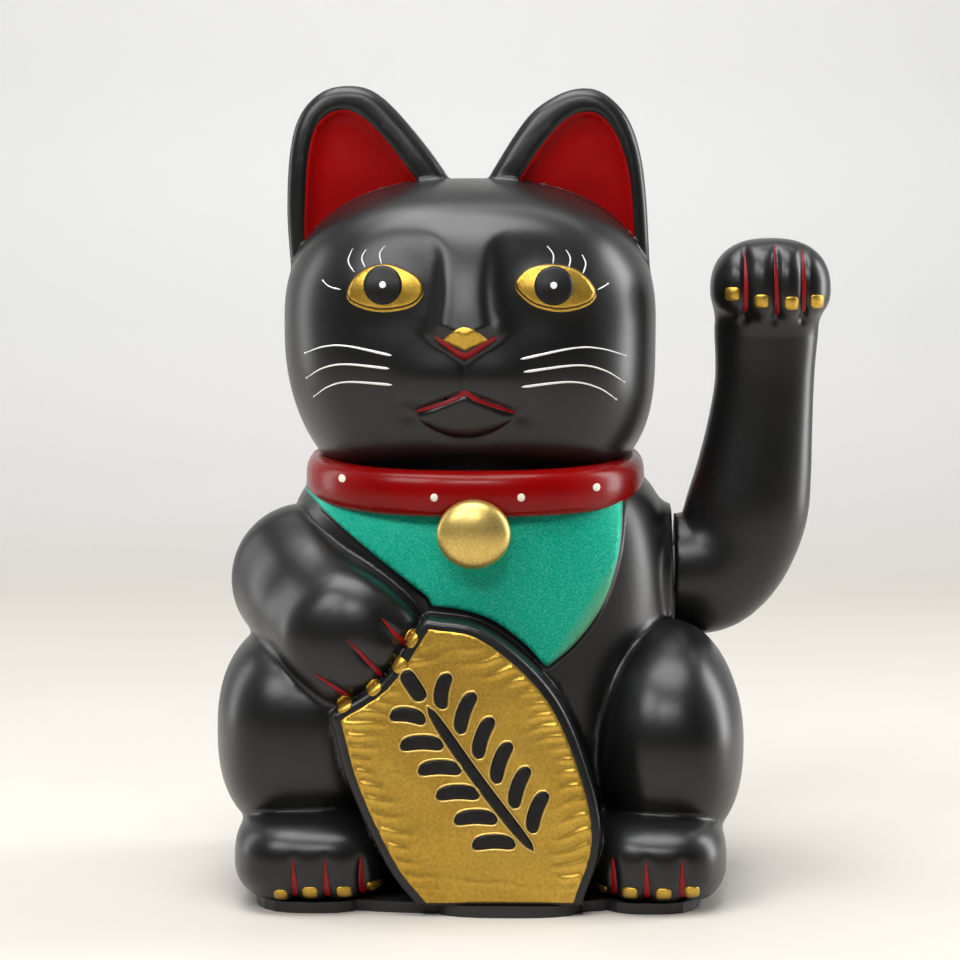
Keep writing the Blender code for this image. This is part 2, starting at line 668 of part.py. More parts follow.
def build_screws():
    for i, (x, y) in enumerate(BASE_SCREWS):
        screw(f"base_screw_{i + 1}", (x, y, 2.0), 11, SHANK_RADIUS, 3.1, 1.7)
    for side, x in (("left", FRAME_SCREW_X), ("right", -FRAME_SCREW_X)):
        screw(f"frame_screw_{side}", (x, 0, FRAME_FOOT_TOP + GAP), 6, SHANK_RADIUS, 2.9, 1.7, up=False)
    for i, x in enumerate(BOARD_SCREW_X):
        place = (x, BOARD_SCREW_Y, PARTS_Z)
        screw(f"board_screw_{i + 1}", place, 5, BOARD_SHANK_RADIUS, 2.0, 1.2, up=False)


def build_battery_box():
    """The tray that holds the cell, open at the bottom, with a slot at each end for a contact's tab."""
    outside = Vector((TRAY_HALF_LENGTH + TRAY_WALL, TRAY_HALF_WIDTH + TRAY_WALL))
    low = (-outside.x, CELL_Y - outside.y, BASE_THICK + GAP)
    high = (outside.x, CELL_Y + outside.y, TRAY_TOP + TRAY_WALL)
    tray = box("battery_box", low, high, DARK_PLASTIC)
    low = (-TRAY_HALF_LENGTH, CELL_Y - TRAY_HALF_WIDTH, 0)
    high = (TRAY_HALF_LENGTH, CELL_Y + TRAY_HALF_WIDTH, TRAY_TOP)
    cut(tray, box("box_hollow", low, high))
    for side, sign in (("left", 1), ("right", -1)):
        near, far = sorted((sign * (TRAY_HALF_LENGTH - 1), sign * (TRAY_HALF_LENGTH + 3)))
        cut(tray, box(f"tab_slot_{side}", (near, CELL_Y - 2.5, 23), (far, CELL_Y + 2.5, 26)))


def build_cell():
    ends = (-CELL_HALF_LENGTH, CELL_Y, CELL_Z), (CELL_HALF_LENGTH, CELL_Y, CELL_Z)
    cell = rod("battery_cell", *ends, CELL_RADIUS, sides=28, finish=CELL_LABEL)
    nub_ends = (20, CELL_Y, CELL_Z), (CELL_HALF_LENGTH + 1.8, CELL_Y, CELL_Z)
    join(cell, rod("cell_nub", *nub_ends, 3.4, sides=16))


def contact(name, x, tab_end):
    """A contact plate with a solder tab that passes out through the battery box's end."""
    plate = box(name, (x, CELL_Y - 8, 7), (x + 0.5, CELL_Y + 8, 25.5), NICKEL)
    near, far = sorted((x + 0.25, tab_end))
    join(plate, box(f"{name}_tab", (near, CELL_Y - 2, 24.2), (far, CELL_Y + 2, 24.8)))


def build_contacts():
    """The plates at both ends of the cell, and the cone-shaped spring on the negative one."""
    contact("positive_contact", 27.2, 33.5)
    contact("negative_contact", -28.4, -33.5)
    turns, per_turn = 3, 12
    coil = []
    for i in range(turns * per_turn + 1):
        share = i / (turns * per_turn)
        angle = 2 * math.pi * i / per_turn
        radius = 6 - 2.6 * share
        y, z = CELL_Y + radius * math.cos(angle), CELL_Z + radius * math.sin(angle)
        coil.append((-27.2 + 2.4 * share, y, z))
    wire("contact_spring", None, 0.35, NICKEL, closed_turns=coil)


def build_door():
    """The battery door, with pins at its hinge edge and grooves for a finger at the other."""
    middle = (DOOR_LOW + DOOR_HIGH) / 2
    low, high = (-DOOR_HALF_WIDTH, DOOR_HINGE_Y, DOOR_LOW), (DOOR_HALF_WIDTH, DOOR_END_Y, DOOR_HIGH)
    door = box("battery_door", low, high, DARK_PLASTIC)
    for name, reach, radius in (("door_edge", DOOR_HALF_WIDTH, 0.9), ("door_pins", 32.8, 0.65)):
        ends = (-reach, DOOR_HINGE_Y, middle), (reach, DOOR_HINGE_Y, middle)
        join(door, rod(name, *ends, radius, sides=16))
    cut(door, *(box(f"door_grip_{i}", (-8, 45 + 2 * i, 0), (8, 45.8 + 2 * i, 1.1)) for i in range(3)))


def build_board():
    board = box("circuit_board", BOARD_LOW, BOARD_HIGH, GREEN_BOARD)
    cut(board, *(board_rod(f"board_hole_{i}", i, 5, 15, BOARD_SHANK_RADIUS + GAP) for i in (0, 1)))
    rod("capacitor", (-44, -36, PARTS_Z), (-44, -36, 20), 3.2, sides=18, finish=DARK_PLASTIC)
    rod("resistor", (-31, -44, 13.2), (-41, -44, 13.2), 1.2, sides=12, finish=WHITE_PLASTIC)
    x, y = -34, -36
    body = rod("transistor", (x, y, 13.5), (x, y, 18.5), 2.4, sides=18, finish=DARK_PLASTIC)
    cut(body, box("transistor_flat", (x - 6, y + 2.1, 10), (x + 4, y + 6, 22)))
    for i in (-1, 0, 1):
        leg_x = x + 1.3 * i
        join(body, box(f"transistor_leg_{i + 1}", (leg_x - 0.2, y - 0.3, PARTS_Z), (leg_x + 0.2, y + 0.1, 14)))


def build_wires():
    """Battery leads and coil leads, each from its solder tab to its pad on the board."""
    lead_radius, coil_wire_radius = 0.6, 0.4
    positive = [(34.4, 38, 24.5), (44, 36, 24), (50, 22, 14), (46, 4, 6.5), (42, -16, 6.2)]
    positive += [(20, -27, 7), (-6, -31, 10), (-16.3, -34, 11)]
    wire("battery_lead_positive", positive, lead_radius, RED_WIRE)
    negative = [(-34.4, 38, 24.5), (-44, 36, 24), (-52, 24, 14), (-56, 4, 7), (-56, -14, 7.5)]
    negative += [(-50, -25, 12.6), (-48, -29.5, 12.6)]
    wire("battery_lead_negative", negative, lead_radius, BLACK_WIRE)
    coil_start = [(-3, -9.9, 27), (-8, -15, 22), (-14, -19, 13), (-22, -24, 12.5), (-24, -30, 12.3)]
    wire("coil_lead_start", coil_start, coil_wire_radius, COPPER)
    coil_end = [(3, -9.9, 25), (2, -17, 18), (-6, -23, 13), (-14, -27, 13), (-18.5, -31, 12.3)]
    wire("coil_lead_end", coil_end, coil_wire_radius, COPPER)


# ---------------------------------------------------------------- joints


def hang_on_axis(name, place, pieces):
    """Parents a moving body's pieces to an empty on its joint's axis, without moving them."""
    pivot = bpy.data.objects.new(name, None)
    collection(PARTS).objects.link(pivot)
    pivot.location = Vector(place) * MM
    for piece in pieces:
        obj = bpy.data.objects[piece]
        obj.parent = pivot
        obj.matrix_parent_inverse = Matrix.Translation(-pivot.location)


def build_pivots():
    arm = ["arm_front_shell", "arm_rear_shell", "arm_hub", "hub_set_screw", "arm_shaft"]
    arm += ["retaining_ring_left", "retaining_ring_right"]
    arm += ["pendulum_lever", "pendulum_weight_left", "pendulum_weight_right", "weight_rivet", "drive_magnet"]
    hang_on_axis("arm_pivot", (SHOULDER_FACE, 0, SHAFT_Z), arm)
    hang_on_axis("door_pivot", (0, DOOR_HINGE_Y, (DOOR_LOW + DOOR_HIGH) / 2), ["battery_door"])


def main():
    clear_scene()
    build_shells()
    build_arm()
    build_shaft()
    build_pendulum()
    build_frame()
    build_coil()
    build_base()
    build_screws()
    build_battery_box()
    build_cell()
    build_contacts()
    build_door()
    build_board()
    build_wires()
    build_pivots()


main()
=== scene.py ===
"""Looks of the beckoning cat figurine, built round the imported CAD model.

The moulded shells are distance fields, meshed here at one to two millimetres and finer where the marks are.
Every painted mark is its own thin piece laid on the moulding. Lengths are in millimetres until a mesh is
made, in the frame of the CAD model: the figure faces -Y, +X is the side of the raised arm, and +Z is up.
"""

import json
import math
from functools import partial

import bmesh
import bpy
import numpy as np
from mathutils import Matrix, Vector
from mathutils.geometry import delaunay_2d_cdt


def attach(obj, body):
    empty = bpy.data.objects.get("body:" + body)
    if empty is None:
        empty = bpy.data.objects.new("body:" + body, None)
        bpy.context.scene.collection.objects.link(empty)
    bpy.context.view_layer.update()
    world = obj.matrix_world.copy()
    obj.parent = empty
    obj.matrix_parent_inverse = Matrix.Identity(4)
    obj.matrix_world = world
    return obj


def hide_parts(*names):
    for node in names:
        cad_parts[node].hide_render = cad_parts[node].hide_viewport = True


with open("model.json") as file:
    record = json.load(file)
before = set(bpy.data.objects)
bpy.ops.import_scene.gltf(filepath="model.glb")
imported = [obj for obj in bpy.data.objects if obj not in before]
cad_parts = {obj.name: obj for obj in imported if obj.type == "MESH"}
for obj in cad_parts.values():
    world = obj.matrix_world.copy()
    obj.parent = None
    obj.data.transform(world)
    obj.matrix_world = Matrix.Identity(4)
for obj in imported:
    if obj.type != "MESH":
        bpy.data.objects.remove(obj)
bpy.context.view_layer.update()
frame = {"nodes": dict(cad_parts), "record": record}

MM = 0.001
SEAM = 0.15  # each half stops this far from the plane where the shells meet
SHELL_FLOOR = 4.3
WALL = 2.0
FIGURE_STEP = 1.6
ARM_STEP = 1.3

SHAFT_Z = 116
BORE_RADIUS = 7.3
HUB_RADIUS = 9.3
PAD_RADIUS = 25
SWEEP_RADIUS = 27.5
ARM_ROOT = 74
SHOULDER_FACE = 73
ARM_DEPTH = 0.82

EAR_HALF_DEPTH = 11
EAR_BOWL = 5
EAR_THINNING = 3.5
NECK_RADIUS = 52.5
KOBAN_TOP_LEAN = 0.05
KOBAN_FRONT = -88.6
KOBAN_BACK = -46
KOBAN_RIM = 3.0
KOBAN_RECESS = 0.6
COLLAR_TILT = 0.045
COLLAR_Z = 153.4
COLLAR_POWER = 2.35
CUT_OFF = 14.0  # distances are not worked out beyond this


# ---------------------------------------------------------------- distances


def blend(a, b, k):
    """The union of two distances, rounded over k where they meet."""
    h = np.clip(0.5 + 0.5 * (b - a) / k, 0, 1)
    return b + (a - b) * h - k * h * (1 - h)


def carve(a, b, k):
    """a without b, rounded over k."""
    return -blend(-a, b, k)


def step_up(value, low, high):
    """0 below low, 1 above high, and a smooth step between them."""
    t = np.clip((value - low) / (high - low), 0, 1)
    return t * t * (3 - 2 * t)


def hill(value, centre, width):
    """A smooth bump that is 1 at its centre."""
    return np.exp(-(((value - centre) / width) ** 2))


def oval(p, centre, radii, low=None, power=2.4, power_z=(2.4, 2.4), turn=0):
    """Distance to a superellipsoid. radii are for the positive side of each axis, low for the negative one.

    power rounds it in the XY plane, and power_z along z, below and above its middle. It is turned about Y.
    """
    low = low or radii
    x, y, z = (c - m for c, m in zip(p, centre))
    if turn:
        c, s = math.cos(math.radians(turn)), math.sin(math.radians(turn))
        x, z = c * x - s * z, s * x + c * z
    a = np.where(x > 0, radii[0], low[0])
    b = np.where(y > 0, radii[1], low[1])
    c = np.where(z > 0, radii[2], low[2])
    pz = np.where(z > 0, power_z[1], power_z[0])
    u, v, w = (np.maximum(np.abs(t), 1e-3) for t in (x / a, y / b, z / c))
    r = (u**power + v**power) ** (1 / power)
    g = (r**pz + w**pz) ** (1 / pz)
    side = g ** (1 - pz) * r ** (pz - power)
    along_x, along_y = side * u ** (power - 1) / a, side * v ** (power - 1) / b
    along_z = g ** (1 - pz) * w ** (pz - 1) / c
    return (g - 1) / np.sqrt(along_x**2 + along_y**2 + along_z**2)


def tube(p, stations, flatten=1, count=44):
    """Distance to a round tube on a smooth line through (x, y, z, radius) stations, cut off at CUT_OFF."""
    line = smooth_line(stations, count)
    low = (line[:, :3] - line[:, 3:]).min(0) - CUT_OFF
    high = (line[:, :3] + line[:, 3:]).max(0) + CUT_OFF
    x, y, z = np.broadcast_arrays(*p)
    near = (x > low[0]) & (x < high[0]) & (y > low[1]) & (y < high[1]) & (z > low[2]) & (z < high[2])
    x, y, z = x[near], y[near], z[near]
    found = np.full(x.shape, CUT_OFF)
    for (ax, ay, az, ar), (bx, by, bz, br) in zip(line, line[1:]):
        dx, dy, dz = bx - ax, by - ay, bz - az
        px, py, pz = x - ax, (y - ay) / flatten, z - az
        t = np.clip((px * dx + py * dy + pz * dz) / (dx * dx + dy * dy + dz * dz), 0, 1)
        distance = np.sqrt((px - t * dx) ** 2 + (py - t * dy) ** 2 + (pz - t * dz) ** 2) - ar - t * (br - ar)
        found = np.minimum(found, distance)
    everywhere = np.full(near.shape, CUT_OFF)
    everywhere[near] = found
    return everywhere


def smooth_line(points, count):
    """Evenly spaced points on a Catmull-Rom line through the given ones."""
    points = [np.array(p, float) for p in points]
    ends = [2 * points[0] - points[1], *points, 2 * points[-1] - points[-2]]
    line = []
    for a, b, c, d in zip(ends, ends[1:], ends[2:], ends[3:]):
        for t in np.linspace(0, 1, 24, endpoint=False):
            square, cube = 2 * a - 5 * b + 4 * c - d, 3 * b - a - 3 * c + d
            line.append(0.5 * (2 * b + (c - a) * t + square * t**2 + cube * t**3))
    line = np.array([*line, points[-1]])
    run = np.concatenate([[0], np.cumsum(np.linalg.norm(np.diff(line, axis=0), axis=1))])
    at = np.linspace(0, run[-1], count)
    return np.stack([np.interp(at, run, line[:, n]) for n in range(line.shape[1])], 1)


def flat_distance(points, x, z):
    """Distance to a closed outline in the XZ plane, negative inside. Far away it is that to its box."""
    x, z = np.broadcast_arrays(x, z)
    (low_x, low_z), (high_x, high_z) = np.min(points, 0), np.max(points, 0)
    distance = np.maximum(np.maximum(low_x - x, x - high_x), np.maximum(low_z - z, z - high_z)).astype(float)
    near = distance < CUT_OFF
    x, z = x[near], z[near]
    nearest, inside = np.full(x.shape, np.inf), np.zeros(x.shape, bool)
    for (ax, az), (bx, bz) in zip(points, points[1:] + points[:1]):
        ex, ez = bx - ax, bz - az
        wx, wz = x - ax, z - az
        t = np.clip((wx * ex + wz * ez) / (ex * ex + ez * ez), 0, 1)
        nearest = np.minimum(nearest, (wx - t * ex) ** 2 + (wz - t * ez) ** 2)
        turn = ex * wz - ez * wx
        inside ^= ((az <= z) & (bz > z) & (turn > 0)) | ((az > z) & (bz <= z) & (turn < 0))
    distance[near] = np.where(inside, -1, 1) * np.sqrt(nearest)
    return distance


def plate(flat, thickness_distance, rounding):
    """A flat outline given thickness, with its edges rounded."""
    a, b = flat + rounding, thickness_distance + rounding
    outside = np.sqrt(np.maximum(a, 0) ** 2 + np.maximum(b, 0) ** 2)
    return np.minimum(np.maximum(a, b), 0) + outside - rounding


# ---------------------------------------------------------------- outlines, in (x, z)


def curve(*points, count=56):
    """An open smooth line through (x, z) points."""
    return [tuple(p) for p in smooth_line(points, count)]


def ring(*points, count=40):
    """A closed smooth line through (x, z) points."""
    overlap = 3
    line = smooth_line([*points[-overlap:], *points, *points[:overlap]], 12 * (len(points) + 2 * overlap))
    middle = len(line) // 2
    gap = np.linalg.norm(line - np.array(points[0]), axis=1)
    loop = line[int(np.argmin(gap[:middle])) : middle + int(np.argmin(gap[middle:]))]
    return [tuple(p) for p in loop[np.linspace(0, len(loop) - 1, count).astype(int)]]


EARS = {
    "right": curve(
        *((-70.6, 222), (-72.6, 254), (-70.2, 282), (-62, 295.4), (-49.8, 299.4)),
        *((-37, 295.2), (-19.6, 275.8), (-6.6, 256), (-2, 246)),
    ),
    "left": curve(
        *((-6, 246), (2.6, 263.5), (16.8, 286), (27.2, 294.8), (37.6, 298.4)),
        *((46.6, 296.6), (55.2, 288.2), (60.2, 275), (62.8, 256), (64.6, 222)),
    ),
}
EAR_BOWLS = {
    "right": curve(
        *((-66.2, 220), (-66.2, 252), (-64.6, 275), (-60.6, 286.2), (-52.6, 290.8)),
        *((-43.6, 287.8), (-32.6, 276.4), (-21, 260.6), (-12, 246)),
    ),
    "left": curve(
        *((4, 246), (12.6, 261), (22.6, 276.6), (32.2, 287), (40.4, 290)),
        *((47.4, 287.2), (54, 276), (57.8, 258), (59.2, 220)),
    ),
}
KOBAN = (
    curve((-16.8, 103.8), (2.6, 99.6), (25, 79.4), (37.6, 52), (42.2, 27), (35.4, 4.8), count=30)
    + curve((-17.8, 4.6), (-29, 18.6), (-42, 46), (-48.9, 70.7), count=16)
    + curve((-48.2, 71.2), (-31.2, 82.8), (-17.4, 103), count=10)
)
BIB = (
    curve((-67, 148.9), (-50, 136.1), (-34, 124), (-18.6, 112.4), count=16)
    + curve((-16.6, 108.8), (-5.8, 107.4), (5.2, 103.8), (16.4, 95.6), (24.6, 86.6), count=16)
    + curve((26.2, 86.4), (36.2, 94.6), (45.4, 106.4), (50.8, 119.5), (53.4, 133), (54.4, 151), count=24)
)
EYES = {
    "right": ring(
        *((-47.2, 222.8), (-43.2, 230.2), (-33.6, 233.6), (-23.6, 230.4)),
        *((-19.1, 225), (-23.4, 219.2), (-34.4, 217.2), (-43.6, 219.2)),
    ),
    "left": ring(
        *((13.9, 227.2), (18.6, 232), (27, 233.6), (36.6, 231.3), (43, 224.2)),
        *((40.4, 219.6), (31, 217.3), (21.4, 219.1), (15.4, 223.6)),
    ),
}


def koban_front(z):
    """How far forward the coin's face is: it leans back a little towards its top."""
    return KOBAN_FRONT + KOBAN_TOP_LEAN * z


# ---------------------------------------------------------------- the moulded figure

NOSE_X = -4.2
EYE_CENTRES = ((-34, 225.5), (27.8, 225.3))
TOE_GROOVES = {"right": (-65.2, -53.7, -41.2), "left": (49.8, 61.5, 74.4)}


def face_relief(x, z):
    """How far the face stands out from the plain head, in millimetres."""
    across = np.abs(x - NOSE_X)
    relief = 1.4 * hill(x, NOSE_X, 42) * hill(z, 250, 12)
    for eye_x, eye_z in EYE_CENTRES:
        side = 1 if eye_x > NOSE_X else -1
        relief = relief - 3.8 * hill(x, NOSE_X + side * 23, 16) * hill(z, eye_z - 1, 15)
        relief = relief + 3.0 * hill(x, eye_x, 13.5) * hill(z, eye_z, 8)
        relief = relief + 1.8 * hill(x, NOSE_X + side * 44, 17) * hill(z, 194, 17)
        relief = relief + 2.6 * hill(x, NOSE_X + side * 11, 13) * hill(z, 191.5, 10)
        relief = relief - 1.6 * hill(x, NOSE_X + side * 21, 5.5) * hill(z, 179.5, 4.5)
    half_width = 9.6 + 2.4 * step_up(-z, -226, -208) + 13 * step_up(z, 236, 264)
    bridge = 1 / (1 + (across / half_width) ** 7)
    nose_line = 200.5 + 0.58 * across
    below_nose = step_up(z - nose_line, -3.5, 0.5)
    rise = np.minimum(7.4 - 0.195 * (z - 210), 3.2 + 0.6 * (z - nose_line))
    relief = relief + np.maximum(rise, 0) * below_nose * bridge
    groove = step_up(z, 186, 190) * (1 - step_up(z, 197, 202))
    relief = relief - 1.1 * hill(x, NOSE_X, 1.6) * groove
    return relief + mouth_relief(across, z)


def mouth_relief(across, z):
    """The lower lip, a lens between the mouth's line and a crease below it."""
    top = 187.4 - 0.42 * across
    bottom = 170.8 + 0.022 * across**2
    share = np.clip((z - bottom) / np.maximum(top - bottom, 1), 0, 1)
    wide = 1 - step_up(across, 13, 21)
    lip = 2.6 * np.sqrt(np.maximum(share * (1 - share), 0)) * wide
    crease = -0.25 * hill(z, bottom - 0.8, 2.6) * wide
    line = -1.3 * hill(z, top - 0.4, 1.5) * wide
    return lip + crease + line


def head_field(p):
    x, y, z = p
    lean = 2.2 * (1 - step_up(z, 160, 205))
    centre, radii, low = (-3.6, 0, 211.5), (70.2, 58, 53.2), (70.2, 65.5, 70)
    head = oval((x - lean, y, z), centre, radii, low, power=2.6, power_z=(2.8, 2.38))
    front = 1 - step_up(y, -50, -18)
    return head - face_relief(x, z) * front


def ear_field(p, side):
    """An upright ear with a red bowl in its front."""
    x, y, z = p
    ear = plate(flat_distance(EARS[side], x, z), np.abs(y) - EAR_HALF_DEPTH + ear_thinning(z), 4.5)
    return carve(ear, y - ear_bowl(x, z, side), 1.2)


def ear_thinning(z):
    """How much nearer the ear's middle plane its front and back are, towards the tip."""
    return EAR_THINNING * step_up(z, 262, 300)


def ear_bowl(x, z, side):
    """Where the ear's front surface is inside its bowl; outside it, well in front of the ear."""
    inside = -flat_distance(EAR_BOWLS[side], x, z)
    depth = EAR_BOWL * (1 - np.exp(-np.maximum(inside, 0) / 3.5))
    front = -EAR_HALF_DEPTH + ear_thinning(z) + 0.4
    return front + depth - 8 * step_up(-inside, 0, 3)


def trunk_field(p):
    """Torso and hips, with the bib standing out a little on the chest."""
    x, y, z = p
    torso = oval(p, (-0.5, 2, 86), (73.2, 66, 74), power=2.4, power_z=(3, 5))
    hips = oval(p, (0, 8, 34), (89, 61, 54), low=(89, 58, 42), power=2.6, power_z=(3, 2.4))
    trunk = blend(torso, hips, 12)
    bib = step_up(-flat_distance(BIB, x, z), -0.6, 0.9) * (1 - step_up(y, -30, -5))
    return trunk - 1.1 * bib


def tail_field(p):
    """A short tail, curled up against the back."""
    return tube(p, [(30, 52, 16, 12), (24, 61.5, 30, 11), (14, 61.5, 47, 10), (9, 60, 60, 7.5)], count=16)


RESTING_ARM_LINE = [
    (-64.6, -20, 114.4, 28.6),
    (-59, -37, 108.5, 27),
    (-52, -50.5, 102, 24.6),
    (-45.5, -58.5, 96.5, 21.6),
]
PAW_CENTRE = (-43, -64, 96)
PAW_GROOVES = (13.6, 0.3, -15.4)


def resting_arm_field(p):
    """The lowered arm, whose paw lies on the coin. Its upper side is cut off straight along the chest."""
    x, y, z = p
    arm = tube(p, RESTING_ARM_LINE)
    paw = oval(p, PAW_CENTRE, (18.2, 19, 24), low=(26, 19, 24), power=2.6, power_z=(2.3, 2.3), turn=45)
    across = (x - PAW_CENTRE[0] + z - PAW_CENTRE[2]) / math.sqrt(2)
    along = (x - PAW_CENTRE[0] - z + PAW_CENTRE[2]) / math.sqrt(2)
    toes = step_up(along, -6, 6) * step_up(-y, 62, 74)
    for groove in PAW_GROOVES:
        paw = paw + (1.3 * hill(across, groove, 1.5) + 1.0 * hill(across, groove, 4.5)) * toes
    arm = blend(arm, paw, 12)
    upper_side = 0.602 * x + 0.799 * z - 77
    return carve(arm, -upper_side, 7)


THIGHS = {
    "right": {"centre": (-64, -26, 60), "radii": (33.6, 50, 40.5), "power_z": (2.5, 2.4)},
    "left": {"centre": (71, -26, 56), "radii": (28.2, 50, 44), "low": (28.2, 50, 39), "power_z": (2.5, 2.0)},
}
FEET = {
    "right": {"centre": (-60, -48, 16), "radii": (29.3, 40.4, 19.6), "low": (29.3, 41.9, 17.4)},
    "left": {"centre": (66.5, -48, 15.5), "radii": (25.3, 40.4, 19.4), "low": (25.3, 41.9, 17)},
}


def leg_field(p, side):
    """A thigh, and below it a foot with grooves between its toes."""
    x, y, z = p
    thigh = oval(p, power=2.5, **THIGHS[side])
    foot = oval(p, power=2.9, power_z=(2.4, 2.9), **FEET[side])
    for groove_x in TOE_GROOVES[side]:
        line = 1.3 * hill(x, groove_x - 0.04 * (z - 15), 1.5) + 0.6 * hill(x, groove_x, 4.2)
        foot = foot + line * step_up(-y, 62, 80) * (1 - step_up(z, 12, 25))
    return blend(thigh, foot, 2.2)


def koban_rim_field(p):
    """The black block that carries the coin's gold face."""
    x, y, z = p
    middle = (koban_front(z) + KOBAN_BACK) / 2
    half = KOBAN_BACK - middle
    return plate(flat_distance(KOBAN, x, z) - KOBAN_RIM, np.abs(y - middle) - half, 2.2)


def chest_field(p):
    """The trunk with the lowered arm and the coin's block against it."""
    body = blend(trunk_field(p), resting_arm_field(p), 1.2)
    return blend(body, koban_rim_field(p), 1.0)


def from_shaft(y, z):
    """Distance from the arm's shaft, which runs along X."""
    return np.sqrt(y**2 + (z - SHAFT_Z) ** 2)


def figure_field(p):
    """The whole moulded figure without its raised arm, with the seat that the arm turns in."""
    x, y, z = p
    body = chest_field(p)
    neck = np.sqrt((x + 1.5) ** 2 + (y + 2) ** 2) - NECK_RADIUS
    body = blend(body, np.maximum(neck, np.abs(z - 155) - 12), 3)
    for side in ("right", "left"):
        body = blend(body, leg_field(p, side), 2.4)
    body = blend(body, tail_field(p), 0.8)
    head = head_field(p)
    for side in ("right", "left"):
        head = blend(head, ear_field(p, side), 1.0)
    body = blend(body, head, 2)
    pad = np.maximum(from_shaft(y, z) - PAD_RADIUS, np.abs(x - 60) - SHOULDER_FACE + 60)
    body = blend(body, pad, 5)
    sweep = np.maximum(from_shaft(y, z) - SWEEP_RADIUS, SHOULDER_FACE - x)
    body = carve(body, sweep, 1.2)
    bore = np.maximum(from_shaft(y, z) - BORE_RADIUS, 60 - x)
    return np.maximum(body, -bore)


# ---------------------------------------------------------------- the raised arm

ARM_LINE = [
    (68, 0, 114, 22.6),
    (84, 0, 115, 23.6),
    (91.5, 0, 119, 23.3),
    (97.5, 0, 127, 23.0),
    (101.6, 0, 139, 23.3),
    (104.1, 0, 152, 21.9),
    (106.2, 0, 168, 20.1),
    (107.8, 0, 184, 18.9),
    (108.3, 0, 195, 18.9),
    (108.6, 0, 207, 19.7),
]
WAVE_GROOVES = (99.6, 110.9, 121.2)


def raised_arm_field(p):
    """The raised arm and its paw, open at its root for the hub."""
    x, y, z = p
    arm = tube(p, ARM_LINE, flatten=ARM_DEPTH, count=60)
    paw = oval(p, (109.8, -3, 222.6), (22.7, 15, 19.6), low=(22.7, 21.5, 15.5), power=2.4, power_z=(2.2, 2.4))
    toes = step_up(-y, 4, 14) * step_up(z, 208, 213) * (1 - step_up(z, 232, 243))
    for groove in WAVE_GROOVES:
        paw = paw + (1.3 * hill(x, groove, 1.4) + 1.5 * hill(x, groove, 4)) * toes
    arm = blend(arm, paw, 5)
    arm = np.maximum(arm, ARM_ROOT - x)
    hub = np.maximum(from_shaft(y, z) - HUB_RADIUS, x - 84)
    return np.maximum(arm, -hub)


# ---------------------------------------------------------------- meshing


def field_mesh(field, low, high, step):
    """Surface nets over a grid, with each point then moved onto the surface. Returns points and quads."""
    axes = [np.arange(a, b + step, step, dtype=np.float32) for a, b in zip(low, high)]
    grid = field((axes[0][:, None, None], axes[1][None, :, None], axes[2][None, None, :]))
    grid = np.broadcast_to(grid, tuple(len(a) for a in axes)).astype(np.float32)
    inside = grid < 0
    size = [n - 1 for n in grid.shape]
    corners = [(i, j, k) for i in (0, 1) for j in (0, 1) for k in (0, 1)]
    filled = np.zeros(size, np.int8)
    for i, j, k in corners:
        filled += inside[i : i + size[0], j : j + size[1], k : k + size[2]]
    active = (filled > 0) & (filled < 8)
    cells = np.argwhere(active)
    index = np.full(active.shape, -1, dtype=np.int64)
    index[active] = np.arange(len(cells))
    total, hits = np.zeros((len(cells), 3)), np.zeros(len(cells))
    for a in corners:
        for axis in range(3):
            if a[axis]:
                continue
            b = tuple(1 if n == axis else a[n] for n in range(3))
            value_a, value_b = grid[tuple((cells + a).T)], grid[tuple((cells + b).T)]
            crosses = (value_a < 0) != (value_b < 0)
            share = np.where(crosses, value_a / np.where(crosses, value_a - value_b, 1), 0)
            total += crosses[:, None] * (np.array(a) + share[:, None] * (np.array(b) - np.array(a)))
            hits += crosses
    points = np.array(low) + step * (cells + total / hits[:, None])
    quads = []
    for axis in range(3):
        u, v = [n for n in range(3) if n != axis]
        here = np.moveaxis(inside, axis, 0)
        change = here[1:] != here[:-1]
        where = np.argwhere(change[:, 1:-1, 1:-1]) + (0, 1, 1)
        cell = np.moveaxis(index, axis, 0)
        around = ((0, 0), (1, 0), (1, 1), (0, 1))
        quad = np.stack([cell[where[:, 0], where[:, 1] - i, where[:, 2] - j] for i, j in around], 1)
        solid_first = here[where[:, 0], where[:, 1], where[:, 2]]
        flip = solid_first != (axis == 1)
        quad[flip] = quad[flip][:, ::-1]
        quads.append(quad[:, ::-1])
    return onto_surface(field, points), np.concatenate(quads)


def slope_of(field, points):
    """How fast the field grows along x, y and z at each point."""
    reach = 0.25
    columns = []
    for axis in range(3):
        offset = np.zeros(3)
        offset[axis] = reach
        columns.append((field(tuple((points + offset).T)) - field(tuple((points - offset).T))) / (2 * reach))
    return np.stack(columns, 1)


def onto_surface(field, points):
    """The points moved along the field's slope to where it is zero."""
    for _ in range(3):
        slope = slope_of(field, points)
        square = np.maximum((slope**2).sum(1), 0.05)
        move = -field(tuple(points.T)) / square
        points = points + slope * np.clip(move, -1, 1)[:, None]
    return points


def refined(field, form, regions):
    """The form with its faces split in four inside (low, high) boxes, laid on the surface again."""
    points, faces = form
    mesh = bpy.data.meshes.new("refined")
    mesh.from_pydata(points.tolist(), [], faces.tolist())
    bm = bmesh.new()
    bm.from_mesh(mesh)
    for low, high in regions:
        fine = [f for f in bm.faces if all(low[n] < f.verts[0].co[n] < high[n] for n in range(3))]
        edges = list({e for f in fine for e in f.edges})
        bmesh.ops.subdivide_edges(bm, edges=edges, cuts=1, use_grid_fill=True)
    points = onto_surface(field, np.array([v.co[:] for v in bm.verts]))
    faces = [[v.index for v in f.verts] for f in bm.faces]
    bm.free()
    bpy.data.meshes.remove(mesh)
    return points, faces


